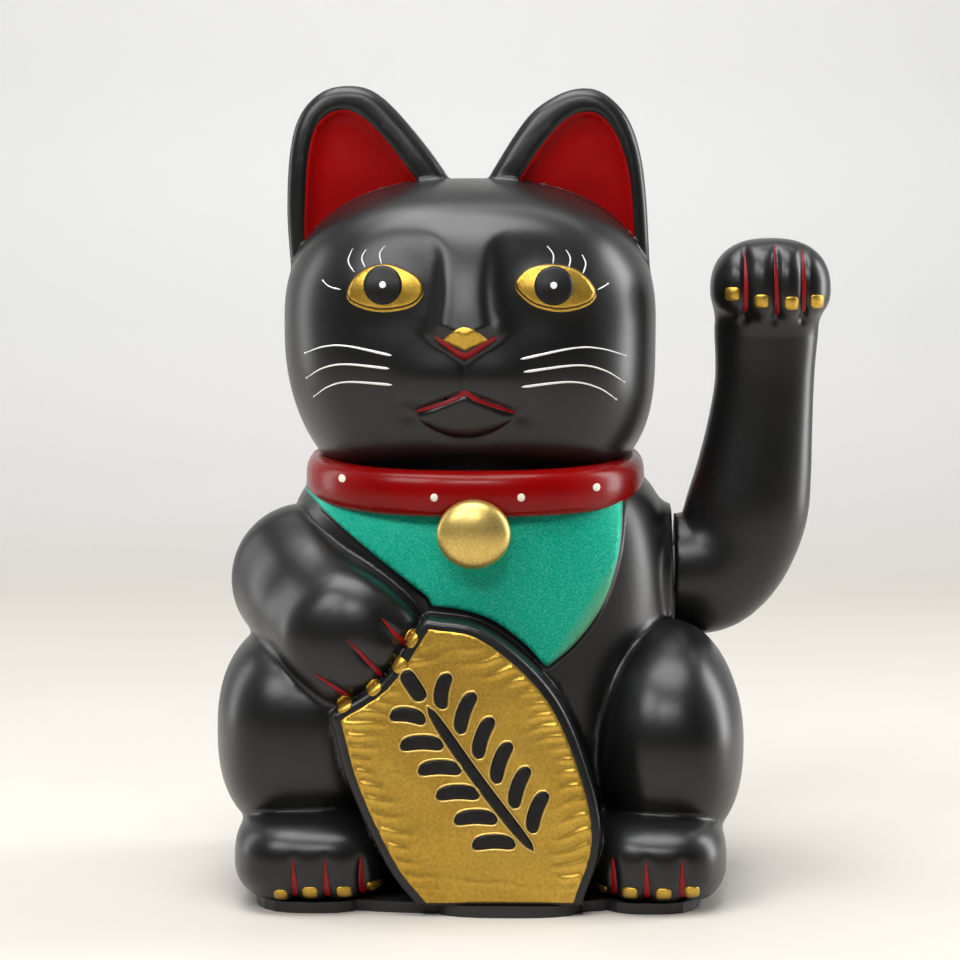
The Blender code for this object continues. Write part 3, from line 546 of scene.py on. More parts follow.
def mesh_object(name, points, faces, finish):
    """A smooth-shaded piece from points in millimetres."""
    mesh = bpy.data.meshes.new(name)
    mesh.from_pydata((np.asarray(points) * MM).tolist(), [], [list(f) for f in faces])
    mesh.update()
    mesh.shade_smooth()
    obj = bpy.data.objects.new(name, mesh)
    bpy.context.scene.collection.objects.link(obj)
    mesh.materials.append(finish)
    return obj


def quads(rows, columns, first=0, loop_rows=False, loop_columns=True):
    """Faces between neighbouring rows of points. Looped, the last row or column meets the first one."""
    faces = []
    for i in range(rows if loop_rows else rows - 1):
        a, b = first + i * columns, first + (i + 1) % rows * columns
        for j in range(columns if loop_columns else columns - 1):
            k = (j + 1) % columns
            faces.append((a + j, b + j, b + k, a + k))
    return faces


def face_outwards(obj):
    """Turns the faces of a closed piece so that all of them look out of it."""
    bm = bmesh.new()
    bm.from_mesh(obj.data)
    bmesh.ops.recalc_face_normals(bm, faces=bm.faces)
    bm.to_mesh(obj.data)
    bm.free()
    return obj


def half_of(name, form, finish, front, floor=None):
    """The front or rear half of a closed form, as a shell with a wall."""
    obj = mesh_object(name, *form, finish)
    cuts = [((0, -SEAM * MM if front else SEAM * MM, 0), (0, 1 if front else -1, 0))]
    if floor is not None:
        cuts.append(((0, 0, floor * MM), (0, 0, -1)))
    bm = bmesh.new()
    bm.from_mesh(obj.data)
    for point, normal in cuts:
        geometry = bm.verts[:] + bm.edges[:] + bm.faces[:]
        bmesh.ops.bisect_plane(bm, geom=geometry, plane_co=point, plane_no=normal, clear_outer=True)
    bmesh.ops.dissolve_degenerate(bm, edges=bm.edges, dist=0.02 * MM)
    bmesh.ops.recalc_face_normals(bm, faces=bm.faces)
    bm.to_mesh(obj.data)
    bm.free()
    wall = obj.modifiers.new("wall", "SOLIDIFY")
    wall.thickness = WALL * MM
    wall.offset = -1
    return obj


# ---------------------------------------------------------------- laying marks on a surface


def front_points(field, x, z, lift, start=-100.0):
    """Where lines along +Y from the front first meet the surface, moved out along its normal by lift."""
    depth, stride = 110.0, 1.5
    x, z = np.asarray(x, float), np.asarray(z, float)
    near = np.full(x.shape, start + depth)
    found = np.zeros(x.shape, bool)
    for y in np.arange(start, start + depth, stride):
        hit = ~found & (field((x, np.full(x.shape, y), z)) < 0)
        near[hit] = y
        found |= hit
    low, high = near - stride, near.copy()
    for _ in range(12):
        middle = (low + high) / 2
        inner = field((x, middle, z)) < 0
        high = np.where(inner, middle, high)
        low = np.where(inner, low, middle)
    points = np.stack([x, high, z], 1)
    slope = slope_of(field, points)
    normal = slope / np.maximum(np.linalg.norm(slope, axis=1), 1e-6)[:, None]
    return points + normal * np.asarray(lift).reshape(-1, 1)


def thicken(obj, thickness):
    """Closes a thin piece downwards, so that it sits in the surface it lies on."""
    solid = obj.modifiers.new("body", "SOLIDIFY")
    solid.thickness = thickness * MM
    solid.offset = -1
    return obj


def stroke(name, points, widths, field, finish, lift=0.22):
    """A painted line: (x, z) points, with a width at its start, middle and end."""
    crown, thickness = 0.15, 0.6
    length = sum(math.dist(a, b) for a, b in zip(points, points[1:]))
    count = max(8, int(length / 0.9))
    line = smooth_line(points, count)
    along = np.gradient(line, axis=0)
    aside = np.stack([-along[:, 1], along[:, 0]], 1) / np.linalg.norm(along, axis=1)[:, None]
    share = np.linspace(0, 1, count)
    width = np.interp(share, [0, 0.5, 1], widths)
    ends = np.sqrt(np.clip(1 - (2 * np.abs(share - 0.5)) ** 14, 0.02, 1))
    rows = []
    across = np.linspace(-1, 1, 5)
    for t in across:
        flat = line + aside * (t * width * ends / 2)[:, None]
        rise = lift + crown * (1 - t * t)
        rows.append(front_points(field, flat[:, 0], flat[:, 1], lift=np.full(count, rise)))
    grid = np.stack(rows, 1)
    faces = quads(count, len(across), loop_columns=False)
    return thicken(facing_front(mesh_object(name, grid.reshape(-1, 3), faces, finish)), thickness)


def facing_front(obj):
    """Turns the piece's faces over if they look backwards."""
    mesh = obj.data
    if sum(f.normal.y * f.area for f in mesh.polygons) > 0:
        mesh.flip_normals()
    return obj


def spot(name, centre, radii, field, finish, crown, turn=0, lift=0.2, power=2.2, thickness=0.8):
    """A small raised oval of paint, such as a nail."""
    bands, around = 6, 28
    c, s = math.cos(math.radians(turn)), math.sin(math.radians(turn))
    x, z, rise = [centre[0]], [centre[1]], [lift + crown]
    for band in range(1, bands + 1):
        share = band / bands
        for i in range(around):
            angle = 2 * math.pi * i / around
            size = (abs(math.cos(angle)) ** power + abs(math.sin(angle)) ** power) ** (1 / power)
            u, v = share * radii[0] * math.cos(angle) / size, share * radii[1] * math.sin(angle) / size
            x.append(centre[0] + u * c - v * s)
            z.append(centre[1] + u * s + v * c)
            rise.append(lift + crown * (1 - share**2.4))
    points = front_points(field, x, z, lift=rise)
    faces = [(0, 1 + i, 1 + (i + 1) % around) for i in range(around)] + quads(bands, around, first=1)
    return thicken(facing_front(mesh_object(name, points, faces, finish)), thickness)


def patch(name, edge, field, finish, spacing, lift, thickness, relief=None, start=-100.0):
    """A painted area inside an outline, laid on the surface. relief(x, z) adds to its height."""
    edge = even_outline(edge, spacing)
    low, high = np.min(edge, 0), np.max(edge, 0)
    columns, rows = np.arange(low[0], high[0], spacing), np.arange(low[1], high[1], spacing * 0.87)
    x, z = np.meshgrid(columns, rows, indexing="ij")
    x = x + np.where(np.arange(x.shape[1]) % 2, spacing / 2, 0)[None, :]
    x, z = x.ravel(), z.ravel()
    deep = flat_distance([tuple(p) for p in edge], x, z) < -0.6 * spacing
    flat = [Vector(p) for p in edge] + [Vector(p) for p in zip(x[deep], z[deep])]
    border = [(i, (i + 1) % len(edge)) for i in range(len(edge))]
    made = delaunay_2d_cdt(flat, border, [], 1, 1e-5)
    x, z = np.array([p.x for p in made[0]]), np.array([p.y for p in made[0]])
    rise = np.full(x.shape, float(lift))
    if relief is not None:
        rise = rise + relief(x, z)
    points = front_points(field, x, z, start=start, lift=rise)
    return thicken(facing_front(mesh_object(name, points, made[2], finish)), thickness)


def even_outline(points, spacing):
    """The outline with a point at about every spacing."""
    closed = np.array([*points, points[0]], float)
    run = np.concatenate([[0], np.cumsum(np.linalg.norm(np.diff(closed, axis=0), axis=1))])
    at = np.linspace(0, run[-1], max(8, int(run[-1] / spacing)), endpoint=False)
    return np.stack([np.interp(at, run, closed[:, n]) for n in range(2)], 1)


def offset_outline(points, distance):
    """The outline moved outwards by distance, or inwards when it is negative."""
    points = np.array(points, float)
    before, after = np.roll(points, 1, 0), np.roll(points, -1, 0)
    along = after - before
    normal = np.stack([along[:, 1], -along[:, 0]], 1) / np.linalg.norm(along, axis=1)[:, None]
    area = np.sum(points[:, 0] * after[:, 1] - after[:, 0] * points[:, 1])
    return [tuple(p) for p in points + normal * distance * (1 if area > 0 else -1)]


# ---------------------------------------------------------------- materials


def add_node(tree, kind, **inputs):
    """A new shader node. Each input, by its name, is a value or the output of another node."""
    node = tree.nodes.new(f"ShaderNode{kind}")
    for name, value in inputs.items():
        socket = node.inputs[name.replace("_", " ")]
        if isinstance(value, bpy.types.NodeSocket):
            tree.links.new(value, socket)
        else:
            socket.default_value = value
    return node


class Finish:
    """Builds one procedural material, node by node."""

    def __init__(self, name, roughness, metallic=0.0, coat=0.0, specular=0.5):
        self.material = bpy.data.materials.new(name)
        self.material.use_nodes = True
        self.tree = self.material.node_tree
        self.inputs = self.tree.nodes["Principled BSDF"].inputs
        self.inputs["Roughness"].default_value = roughness
        self.inputs["Metallic"].default_value = metallic
        self.inputs["Specular IOR Level"].default_value = specular
        self.inputs["Coat Weight"].default_value = coat
        self.inputs["Coat Roughness"].default_value = 0.12
        self.place = add_node(self.tree, "TexCoord").outputs["Object"]

    def noise(self, scale, detail, roughness=0.55):
        settings = {"Scale": scale, "Detail": detail, "Roughness": roughness}
        return add_node(self.tree, "TexNoise", Vector=self.place, **settings).outputs["Fac"]

    def cells(self, scale):
        return add_node(self.tree, "TexVoronoi", Vector=self.place, Scale=scale).outputs["Color"]

    def ramp(self, value, stops):
        """stops are (position, colour or grey)."""
        node = add_node(self.tree, "ValToRGB", Fac=value)
        ramp = node.color_ramp
        while len(ramp.elements) < len(stops):
            ramp.elements.new(0.5)
        for element, (at, colour) in zip(ramp.elements, stops):
            element.position = at
            element.color = (*colour, 1) if isinstance(colour, tuple) else (colour, colour, colour, 1)
        return node.outputs["Color"]

    def mix(self, a, b, share):
        node = add_node(self.tree, "Mix")
        node.data_type = "RGBA"
        for socket, value in ((node.inputs[6], a), (node.inputs[7], b), (node.inputs[0], share)):
            if isinstance(value, (tuple, float)):
                socket.default_value = (*value, 1) if isinstance(value, tuple) else value
            else:
                self.tree.links.new(value, socket)
        return node.outputs[2]

    def along(self, direction, low, high):
        """0 to 1 between two distances along a direction, in millimetres."""
        node = add_node(self.tree, "VectorMath")
        node.operation = "DOT_PRODUCT"
        node.inputs[1].default_value = direction
        self.tree.links.new(self.place, node.inputs[0])
        ends = {"From_Min": low * MM, "From_Max": high * MM}
        return add_node(self.tree, "MapRange", Value=node.outputs["Value"], **ends).outputs["Result"]

    def colour(self, value):
        self.tree.links.new(value, self.inputs["Base Color"])

    def roughness(self, value, low, high):
        span = add_node(self.tree, "MapRange", Value=value, To_Min=low, To_Max=high)
        self.tree.links.new(span.outputs["Result"], self.inputs["Roughness"])

    def bump(self, value, depth):
        """depth is in millimetres."""
        node = add_node(self.tree, "Bump", Height=value, Strength=1, Distance=depth * MM)
        last = self.inputs["Normal"]
        if last.is_linked:
            self.tree.links.new(last.links[0].from_socket, node.inputs["Normal"])
        self.tree.links.new(node.outputs["Normal"], last)
        return self


def satin_black():
    """Sprayed black: a very fine orange peel, faint cloudiness and a few dust specks."""
    made = Finish("satin_black", 0.32, specular=0.5)
    tone = made.ramp(made.noise(14, 4), [(0.3, (0.0045, 0.0045, 0.0048)), (0.75, (0.008, 0.0076, 0.0075))])
    speck = made.ramp(made.noise(900, 1), [(0.8, 0.0), (0.84, 1.0)])
    made.colour(made.mix(tone, (0.04, 0.038, 0.036), speck))
    made.roughness(made.noise(60, 4), 0.28, 0.37)
    return made.bump(made.noise(420, 3), 0.018).bump(made.noise(35, 2), 0.10).material


def red_gloss():
    """Thick glossy red lacquer, deeper where it pools."""
    made = Finish("red_gloss", 0.24, coat=0.04, specular=0.2)
    tone = made.ramp(made.noise(22, 3), [(0.3, (0.20, 0.0004, 0.0006)), (0.7, (0.28, 0.0008, 0.0012))])
    made.colour(tone)
    made.roughness(made.noise(70, 3), 0.2, 0.32)
    return made.bump(made.noise(120, 2), 0.05).material


def ear_red():
    """The flatter red paint inside the ears."""
    made = Finish("ear_red", 0.45, specular=0.1)
    tone = made.ramp(made.noise(30, 4), [(0.3, (0.26, 0.0012, 0.0016)), (0.7, (0.34, 0.002, 0.0024))])
    made.colour(tone)
    made.roughness(made.noise(90, 3), 0.34, 0.48)
    return made.bump(made.noise(380, 3), 0.03).material


def line_red():
    """Darker red of the brushed lines."""
    made = Finish("line_red", 0.4, specular=0.3)
    made.colour(made.ramp(made.noise(160, 3), [(0.3, (0.20, 0.002, 0.004)), (0.7, (0.30, 0.004, 0.007))]))
    made.roughness(made.noise(200, 3), 0.32, 0.48)
    return made.bump(made.noise(500, 2), 0.03).material


def glitter_teal():
    """Metallic teal paint with fine flake, dusted with gold along its lower right edge."""
    made = Finish("glitter_teal", 0.42, metallic=0.3, specular=0.25)
    flake = made.cells(3600)
    base = made.ramp(made.noise(14, 4), [(0.3, (0.0, 0.37, 0.24)), (0.7, (0.0, 0.52, 0.35))])
    bright = made.ramp(flake, [(0.0, (0.0, 0.28, 0.18)), (0.6, (0.0, 0.47, 0.32)), (1.0, (0.18, 0.78, 0.58))])
    teal = made.mix(base, bright, 0.6)
    dust = made.along((0.83, 0, -0.555), -28.5, -18)
    made.colour(made.mix(teal, (0.22, 0.33, 0.13), dust))
    made.roughness(flake, 0.32, 0.55)
    return made.bump(made.noise(2400, 2), 0.03).bump(made.noise(220, 3), 0.05).material


def gold_paint(name, low, high):
    """Bronze-powder gold: metallic, with fine grain."""
    made = Finish(name, 0.36, metallic=0.85)
    grain = made.noise(900, 3, 0.7)
    tone = made.ramp(made.noise(28, 4), [(0.28, low), (0.72, high)])
    powder = made.ramp(grain, [(0.35, tuple(0.6 * c for c in low)), (0.7, high)])
    made.colour(made.mix(tone, powder, 0.45))
    made.roughness(made.noise(90, 4), 0.3, 0.44)
    return made.bump(grain, 0.05).bump(made.noise(140, 3), 0.08).material


def plain_paint(name, low, high):
    """Brushed paint with hardly any gloss."""
    made = Finish(name, 0.4, specular=0.25)
    made.colour(made.ramp(made.noise(240, 3), [(0.3, low), (0.7, high)]))
    made.roughness(made.noise(300, 3), 0.35, 0.5)
    return made.bump(made.noise(600, 2), 0.02).material


def moulded(name, low, high, rough=(0.4, 0.55), metallic=0.0, grain=700, depth=0.03):
    """Plastic or metal of a hidden working part."""
    made = Finish(name, 0.45, metallic=metallic)
    made.colour(made.ramp(made.noise(45, 4), [(0.3, low), (0.7, high)]))
    made.roughness(made.noise(120, 4), *rough)
    return made.bump(made.noise(grain, 3), depth).material


# ---------------------------------------------------------------- pieces


def place(obj, body="figure", replaces=()):
    """Hands a piece to the frame: the body it rides on, and the CAD nodes that it stands for."""
    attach(obj, body)
    if replaces:
        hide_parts(*replaces)
    return obj


def build_shells(black):
    """The four moulded shells, with finer faces where marks are laid on them."""
    form = field_mesh(figure_field, (-101, -92, 1), (103, 78, 303), FIGURE_STEP)
    face = ((-52, -90, 160), (46, -35, 246))
    feet = ((-92, -92, 3), (-30, -60, 36)), ((38, -92, 3), (94, -60, 36))
    paw = ((-62, -92, 70), (-16, -60, 112))
    chest = ((-72, -92, 84), (58, -40, 150))
    ear_roots = ((-74, -34, 222), (70, -2, 264))
    form = refined(figure_field, form, (face, *feet, paw, chest, ear_roots))
    place(half_of("front_moulding", form, black, True, SHELL_FLOOR), replaces=["front_shell"])
    place(half_of("rear_moulding", form, black, False, SHELL_FLOOR), replaces=["rear_shell"])
    form = field_mesh(raised_arm_field, (71, -30, 88), (135, 26, 246), ARM_STEP)
    form = refined(raised_arm_field, form, [((85, -30, 206), (135, -2, 246))])
    place(half_of("arm_front_moulding", form, black, True), "arm", replaces=["arm_front_shell"])
    place(half_of("arm_rear_moulding", form, black, False), "arm", replaces=["arm_rear_shell"])


def ear_bottom_field(p, side):
    """Distance along Y to the bottom of an ear's bowl."""
    return ear_bowl(p[0], p[2], side) - p[1]


def build_ears(red):
    for side, bowl in EAR_BOWLS.items():
        inner = offset_outline(even_outline(bowl, 1.2), -0.4)
        bottom = partial(ear_bottom_field, side=side)
        place(patch(f"ear_inside_{side}", inner, bottom, red, 1.2, lift=0.3, start=-24.0, thickness=0.5))


def collar_section(angle, share):
    """A point of the collar: angle goes round the neck, share round the roll."""
    c, s = math.cos(angle), math.sin(angle)
    size = (abs(c) ** COLLAR_POWER + abs(s) ** COLLAR_POWER) ** (1 / COLLAR_POWER)
    turn = 2 * math.pi * share
    out = math.copysign(abs(math.cos(turn)) ** 0.8, math.cos(turn)) * 6.2
    up = math.copysign(abs(math.sin(turn)) ** 0.75, math.sin(turn)) * 8.4
    x = -1.6 + (57.8 + out) * c / size
    y = -3.4 + (61.0 + out) * s / size
    return x, y, COLLAR_Z + COLLAR_TILT * y + up


def build_collar(red, cream):
    """A front and a rear piece that stop just short of the shells' seam, and four dots."""
    around, roll, trim = 90, 28, 0.0035
    for half, (begin, end) in {"front": (math.pi, 2 * math.pi), "rear": (0, math.pi)}.items():
        points = []
        for i in range(around + 1):
            angle = begin + trim + (end - begin - 2 * trim) * i / around
            points += [collar_section(angle, j / roll) for j in range(roll)]
        faces = quads(around + 1, roll)
        faces.append(tuple(range(roll)))
        faces.append(tuple(range(around * roll, (around + 1) * roll))[::-1])
        place(face_outwards(mesh_object(f"collar_{half}", points, faces, red)))

    radii = (1.35, 1.45)
    for i, centre in enumerate(((-49.5, 155.0), (-15.2, 149.6), (16.2, 149.6), (43.6, 152.2))):
        name = f"collar_dot_{i + 1}"
        place(spot(name, centre, radii, collar_field, cream, crown=0.25, lift=0.12, thickness=0.5))


def collar_field(p):
    """Distance to the same roll, near enough to lay the dots on it."""
    x, y, z = p
    u, v = np.abs((x + 1.6) / 57.8), np.abs((y + 3.4) / 61.0)
    out = ((u**COLLAR_POWER + v**COLLAR_POWER) ** (1 / COLLAR_POWER) - 1) * 59.4
    up = z - COLLAR_Z - COLLAR_TILT * y
    return (np.abs(out / 6.2) ** 2.5 + np.abs(up / 8.4) ** 2.6) ** (1 / 2.55) * 6.2 - 6.2


def build_bell(gold):
    """A plain domed bell, hung over the collar's front."""
    dome, depth, skirt = 13.3, 6.5, 3
    profile = [(dome * math.sin(t), depth * (math.cos(t) - 1)) for t in np.linspace(0, math.pi / 2, 14)]
    profile += [(dome, -depth - skirt)]
    around = 64
    centre, front, squash = (-0.9, 136.6), -80.5, 0.94
    points = [(centre[0], front, centre[1])]
    for radius, back in profile[1:]:
        for i in range(around):
            angle = 2 * math.pi * i / around
            x, z = centre[0] + radius * math.cos(angle), centre[1] + squash * radius * math.sin(angle)
            points.append((x, front - back, z))
    faces = [(0, 1 + i, 1 + (i + 1) % around) for i in range(around)]
    faces += quads(len(profile) - 1, around, first=1)
    last = 1 + (len(profile) - 2) * around
    faces.append(tuple(last + i for i in range(around)))
    place(face_outwards(mesh_object("bell", points, faces, gold)))


def build_bib(teal):
    place(patch("bib", offset_outline(BIB, -0.9), chest_field, teal, 1.4, lift=0.16, thickness=0.5))


def build_eyes(gold, black, brown, white):
    """Each eye is a gold lower lid, a brown rim, the gold eye, its pupil and a spot of light."""
    for side, edge in EYES.items():
        lid = [(a, b - 0.9) for a, b in offset_outline(edge, 0.15)]
        layers = {
            "eye_line": (lid, gold, 0.1),
            "eye_rim": (offset_outline(edge, 0.1), brown, 0.22),
            "eye": (offset_outline(edge, -0.45), gold, 0.36),
        }
        for name, (outline, finish, lift) in layers.items():
            place(patch(f"{name}_{side}", outline, head_field, finish, 0.9, lift=lift, thickness=0.5))
        x, z = EYE_CENTRES[0 if side == "right" else 1]
        pupil, light = (x, z + 0.4), (x, z + 0.5)
        place(spot(f"pupil_{side}", pupil, (7, 7), head_field, black, crown=0.12, lift=0.45, power=2))
        place(spot(f"eye_light_{side}", light, (1.2, 1.2), head_field, white, crown=0.1, lift=0.66, power=2))


LASHES = {
    "right": [
        [(-45.4, 239), (-46.9, 234.4), (-44.7, 230.6)],
        [(-40.3, 238.8), (-41.9, 235.6), (-40.6, 232.2)],
        [(-33.4, 240), (-35.3, 237.2), (-34.6, 233.4)],
        [(-56.7, 227.4), (-53.9, 225.2), (-49.6, 224.2)],
    ],
    "left": [
        [(25.4, 240), (27.6, 237), (27.6, 233.6)],
        [(32.3, 238.6), (33.8, 235.6), (33.3, 232.2)],
        [(38.1, 236.8), (39.4, 233.6), (38.5, 230.2)],
        [(47.8, 226.4), (45.8, 225.2), (43.8, 224.2)],
    ],
}
WHISKERS = {
    "right": [
        [(-63.7, 200.4), (-56, 203.3), (-47, 203.8), (-30.6, 200.6)],
        [(-63.2, 191.2), (-56, 195.6), (-47, 197.2), (-31.6, 195.9)],
        [(-60.4, 184.4), (-54, 188.9), (-46, 190.8), (-30.6, 190)],
    ],
    "left": [
        [(54.5, 199.8), (45, 202.8), (35, 203.2), (15.8, 199.4)],
        [(54, 190), (46, 195), (36, 197), (17, 194.8)],
        [(51, 183.8), (44, 188.6), (34, 191), (16.2, 189.4)],
    ],
}


def build_face(red, gold, white):
    for side, lashes in LASHES.items():
        for i, points in enumerate(lashes):
            place(stroke(f"lash_{side}_{i + 1}", points, (0.3, 0.5, 0.55), head_field, white, lift=0.2))
    for side, whiskers in WHISKERS.items():
        for i, points in enumerate(whiskers):
            place(stroke(f"whisker_{side}_{i + 1}", points, (0.4, 0.65, 1.05), head_field, white, lift=0.2))
    nose = curve((-12, 206.4), (-9, 209.2), (NOSE_X, 211.2), (0.8, 209.2), (4.2, 206.4), count=14)
    nose.append((NOSE_X, 202.9))
    place(patch("nose", nose, head_field, gold, 0.8, lift=0.3, thickness=0.6))
    tip = [(-14.8, 207.6), (-10.2, 204.4), (NOSE_X, 200.8), (2, 204.4), (7.2, 207.6)]
    place(stroke("nose_line", tip, (1.4, 2.6, 1.4), head_field, red, lift=0.25))
    mouth = [(-22, 180.2), (-13.8, 182.8), (-7.8, 185.2), (NOSE_X, 187.2)]
    mouth += [(-0.6, 185.2), (5.4, 182.8), (14, 179.8)]
    place(stroke("mouth_line", mouth, (1.4, 2.0, 1.4), head_field, red, lift=0.25))


RESTING_TOE_LINES = [
    [(-33.9, 107.2), (-29.4, 101.6), (-24.2, 96)],
    [(-46, 99.8), (-39.6, 92.8), (-33, 85.4)],
    [(-58, 87), (-51.8, 82.4), (-45.2, 77.6)],
]
RESTING_NAILS = [((-23.2, 99.6), -30), ((-27.2, 90.4), -35), ((-36.6, 82.2), -45), ((-47.4, 76), -55)]
FOOT_NAILS = {"right": (-70.2, -59.5, -47.3, -36.8), "left": (45, 55.6, 67.7, 77.8)}
FOOT_NAIL_HEIGHTS = (7, 8.4, 8.4, 8.8)
FOOT_NAIL_WIDTHS = (2.5, 2.8, 2.8, 2.8)
WAVE_LINES = [
    [(99.4, 237.5), (99.6, 226), (99.6, 214.6)],
    [(110.3, 240), (110.8, 227), (111.4, 213.6)],
    [(121, 238), (121.4, 226), (121.4, 214.6)],
]
WAVE_NAILS = [(94.7, 221.6), (105.3, 219), (116.5, 218.2), (126.4, 218.8)]


def build_toes(red, gold):
    for i, points in enumerate(RESTING_TOE_LINES):
        place(stroke(f"resting_toe_line_{i + 1}", points, (0.5, 1.7, 2.0), resting_arm_field, red))
    for i, (centre, turn) in enumerate(RESTING_NAILS):
        name = f"resting_nail_{i + 1}"
        place(spot(name, centre, (2.4, 2.9), chest_field, gold, crown=0.5, turn=turn, lift=0.3, power=2.8))
    for side, grooves in TOE_GROOVES.items():
        foot = partial(leg_field, side=side)
        for i, x in enumerate(grooves):
            points = [(x - 0.3, 20.8), (x, 13.6), (x + 0.3, 6)]
            place(stroke(f"toe_line_{side}_{i + 1}", points, (0.6, 1.9, 2.4), foot, red))
        nails = zip(FOOT_NAILS[side], FOOT_NAIL_HEIGHTS, FOOT_NAIL_WIDTHS)
        for i, (x, z, width) in enumerate(nails):
            place(spot(f"nail_{side}_{i + 1}", (x, z), (width, 2.3), foot, gold, crown=0.6, power=4))
    for i, points in enumerate(WAVE_LINES):
        place(stroke(f"raised_toe_line_{i + 1}", points, (0.6, 1.6, 1.9), raised_arm_field, red), "arm")
    for i, centre in enumerate(WAVE_NAILS):
        name = f"raised_nail_{i + 1}"
        place(spot(name, centre, (2.6, 2.5), raised_arm_field, gold, crown=0.5, power=4.5), "arm")


# ---------------------------------------------------------------- the coin


def koban_face_field(p):
    """Distance along Y to the plane that the coin's gold lies on."""
    return koban_front(p[2]) + KOBAN_RECESS - p[1] + 0 * p[0]


def koban_pleats(x, z):
    """Short hammered pleats that run in from the coin's long edges, over a soft unevenness."""
    inside = -flat_distance(KOBAN, x, z)
    u, v = off_koban(x, z)
    right = step_up(u, -3, 8)
    slant = np.where(u > 2, z - 0.16 * x - 0.10 * u, z + 0.10 * x)
    phase = slant / 4.7 + 0.3 * np.sin(slant / 9.7) + 0.12 * np.sin(x / 3.1 + z / 7)
    ridge = np.maximum(np.cos(2 * math.pi * phase), 0) ** 1.4
    low_right = right * (1 - step_up(z, 20, 40))
    reach = 5 + 1.6 * np.sin(slant / 4.3) + 6 * low_right
    near = np.exp(-((np.maximum(inside - 2, 0) / reach) ** 2)) * (0.75 + 0.25 * np.sin(slant / 3.1))
    clear = step_up((u / 20) ** 2 + (v / 37) ** 2, 0.85, 1.3)
    ends = (1 - step_up(z, 92, 100)) * step_up(z, 9, 14)
    uneven = 0.12 * np.sin(x / 6.3 + 1.3 * np.sin(z / 8.1)) * np.sin(z / 5.7 + x / 11)
    return (0.85 * ridge * near * clear * ends + uneven) * step_up(inside, 0.2, 2.2)


KOBAN_CENTRE = (-3.2, 56.5)
KOBAN_TURN = math.radians(36)


def on_koban(u, v):
    """A point of the ornament, u across the coin and v up it, as (x, z)."""
    c, s = math.cos(KOBAN_TURN), math.sin(KOBAN_TURN)
    return KOBAN_CENTRE[0] + u * c - v * s, KOBAN_CENTRE[1] + u * s + v * c


def off_koban(x, z):
    """The ornament's u and v of a point of the coin."""
    c, s = math.cos(KOBAN_TURN), math.sin(KOBAN_TURN)
    x, z = x - KOBAN_CENTRE[0], z - KOBAN_CENTRE[1]
    return x * c + z * s, z * c - x * s


def blade(start, end, width, bend):
    """A long rounded shape between two (u, v) points of the coin, bowed to its left by bend."""
    count = 22
    length = math.dist(start, end)
    along = ((end[0] - start[0]) / length, (end[1] - start[1]) / length)
    one, other = [], []
    for i in range(count + 1):
        t = i / count * 2 - 1
        half = width / 2 * math.sqrt(max(0.0, 1 - abs(t) ** 5))
        bow = bend * (1 - t * t)
        for side, aside in ((one, bow + half), (other, bow - half)):
            u = (start[0] + end[0]) / 2 + along[0] * t * length / 2 - along[1] * aside
            v = (start[1] + end[1]) / 2 + along[1] * t * length / 2 + along[0] * aside
            side.append(on_koban(u, v))
    return one + other[-2:0:-1]


def ornament():
    """Generic coin decoration: a sprig of bamboo, its leaves in pairs up a stem."""
    shapes = [blade((0.5, -41), (0, 24), 3.8, 1.0), blade((0, 26.5), (0.5, 39), 5.4, 0)]
    for base in (-35, -24, -13, -2, 9, 20):
        reach = 16.5 if base < 20 else 13
        shapes.append(blade((3.6, base), (reach, base + 9), 5.0, 1.3))
        shapes.append(blade((-3.6, base), (-reach, base + 9), 5.0, -1.3))
    return shapes


def build_koban(gold, bright, black):
    face = offset_outline(KOBAN, -0.4)
    laid = partial(patch, field=koban_face_field, relief=koban_pleats)
    place(laid("coin_face", face, finish=gold, spacing=0.85, lift=0.75, thickness=0.9))
    for i, edge in enumerate(ornament()):
        place(bead(f"coin_mark_edge_{i + 1}", offset_outline(edge, 0.5), 0.42, bright))
        place(laid(f"coin_mark_{i + 1}", edge, finish=black, spacing=0.9, lift=1.0, thickness=0.6))


def bead(name, edge, radius, finish):
    """A thin raised line along a closed outline on the coin's face."""
    edge = even_outline(edge, 0.9)
    x, z = edge[:, 0], edge[:, 1]
    y = koban_front(z) + KOBAN_RECESS - 0.85 - koban_pleats(x, z)
    sides = 8
    after, before = np.roll(edge, -1, 0), np.roll(edge, 1, 0)
    along = after - before
    normal = np.stack([along[:, 1], -along[:, 0]], 1) / np.linalg.norm(along, axis=1)[:, None]
    points = []
    for i in range(len(edge)):
        for j in range(sides):
            angle = 2 * math.pi * j / sides
            across, out = radius * math.cos(angle), radius * math.sin(angle)
            points.append((x[i] + normal[i, 0] * across, y[i] + out, z[i] + normal[i, 1] * across))
    return face_outwards(mesh_object(name, points, quads(len(edge), sides, loop_rows=True), finish))


# ---------------------------------------------------------------- working parts


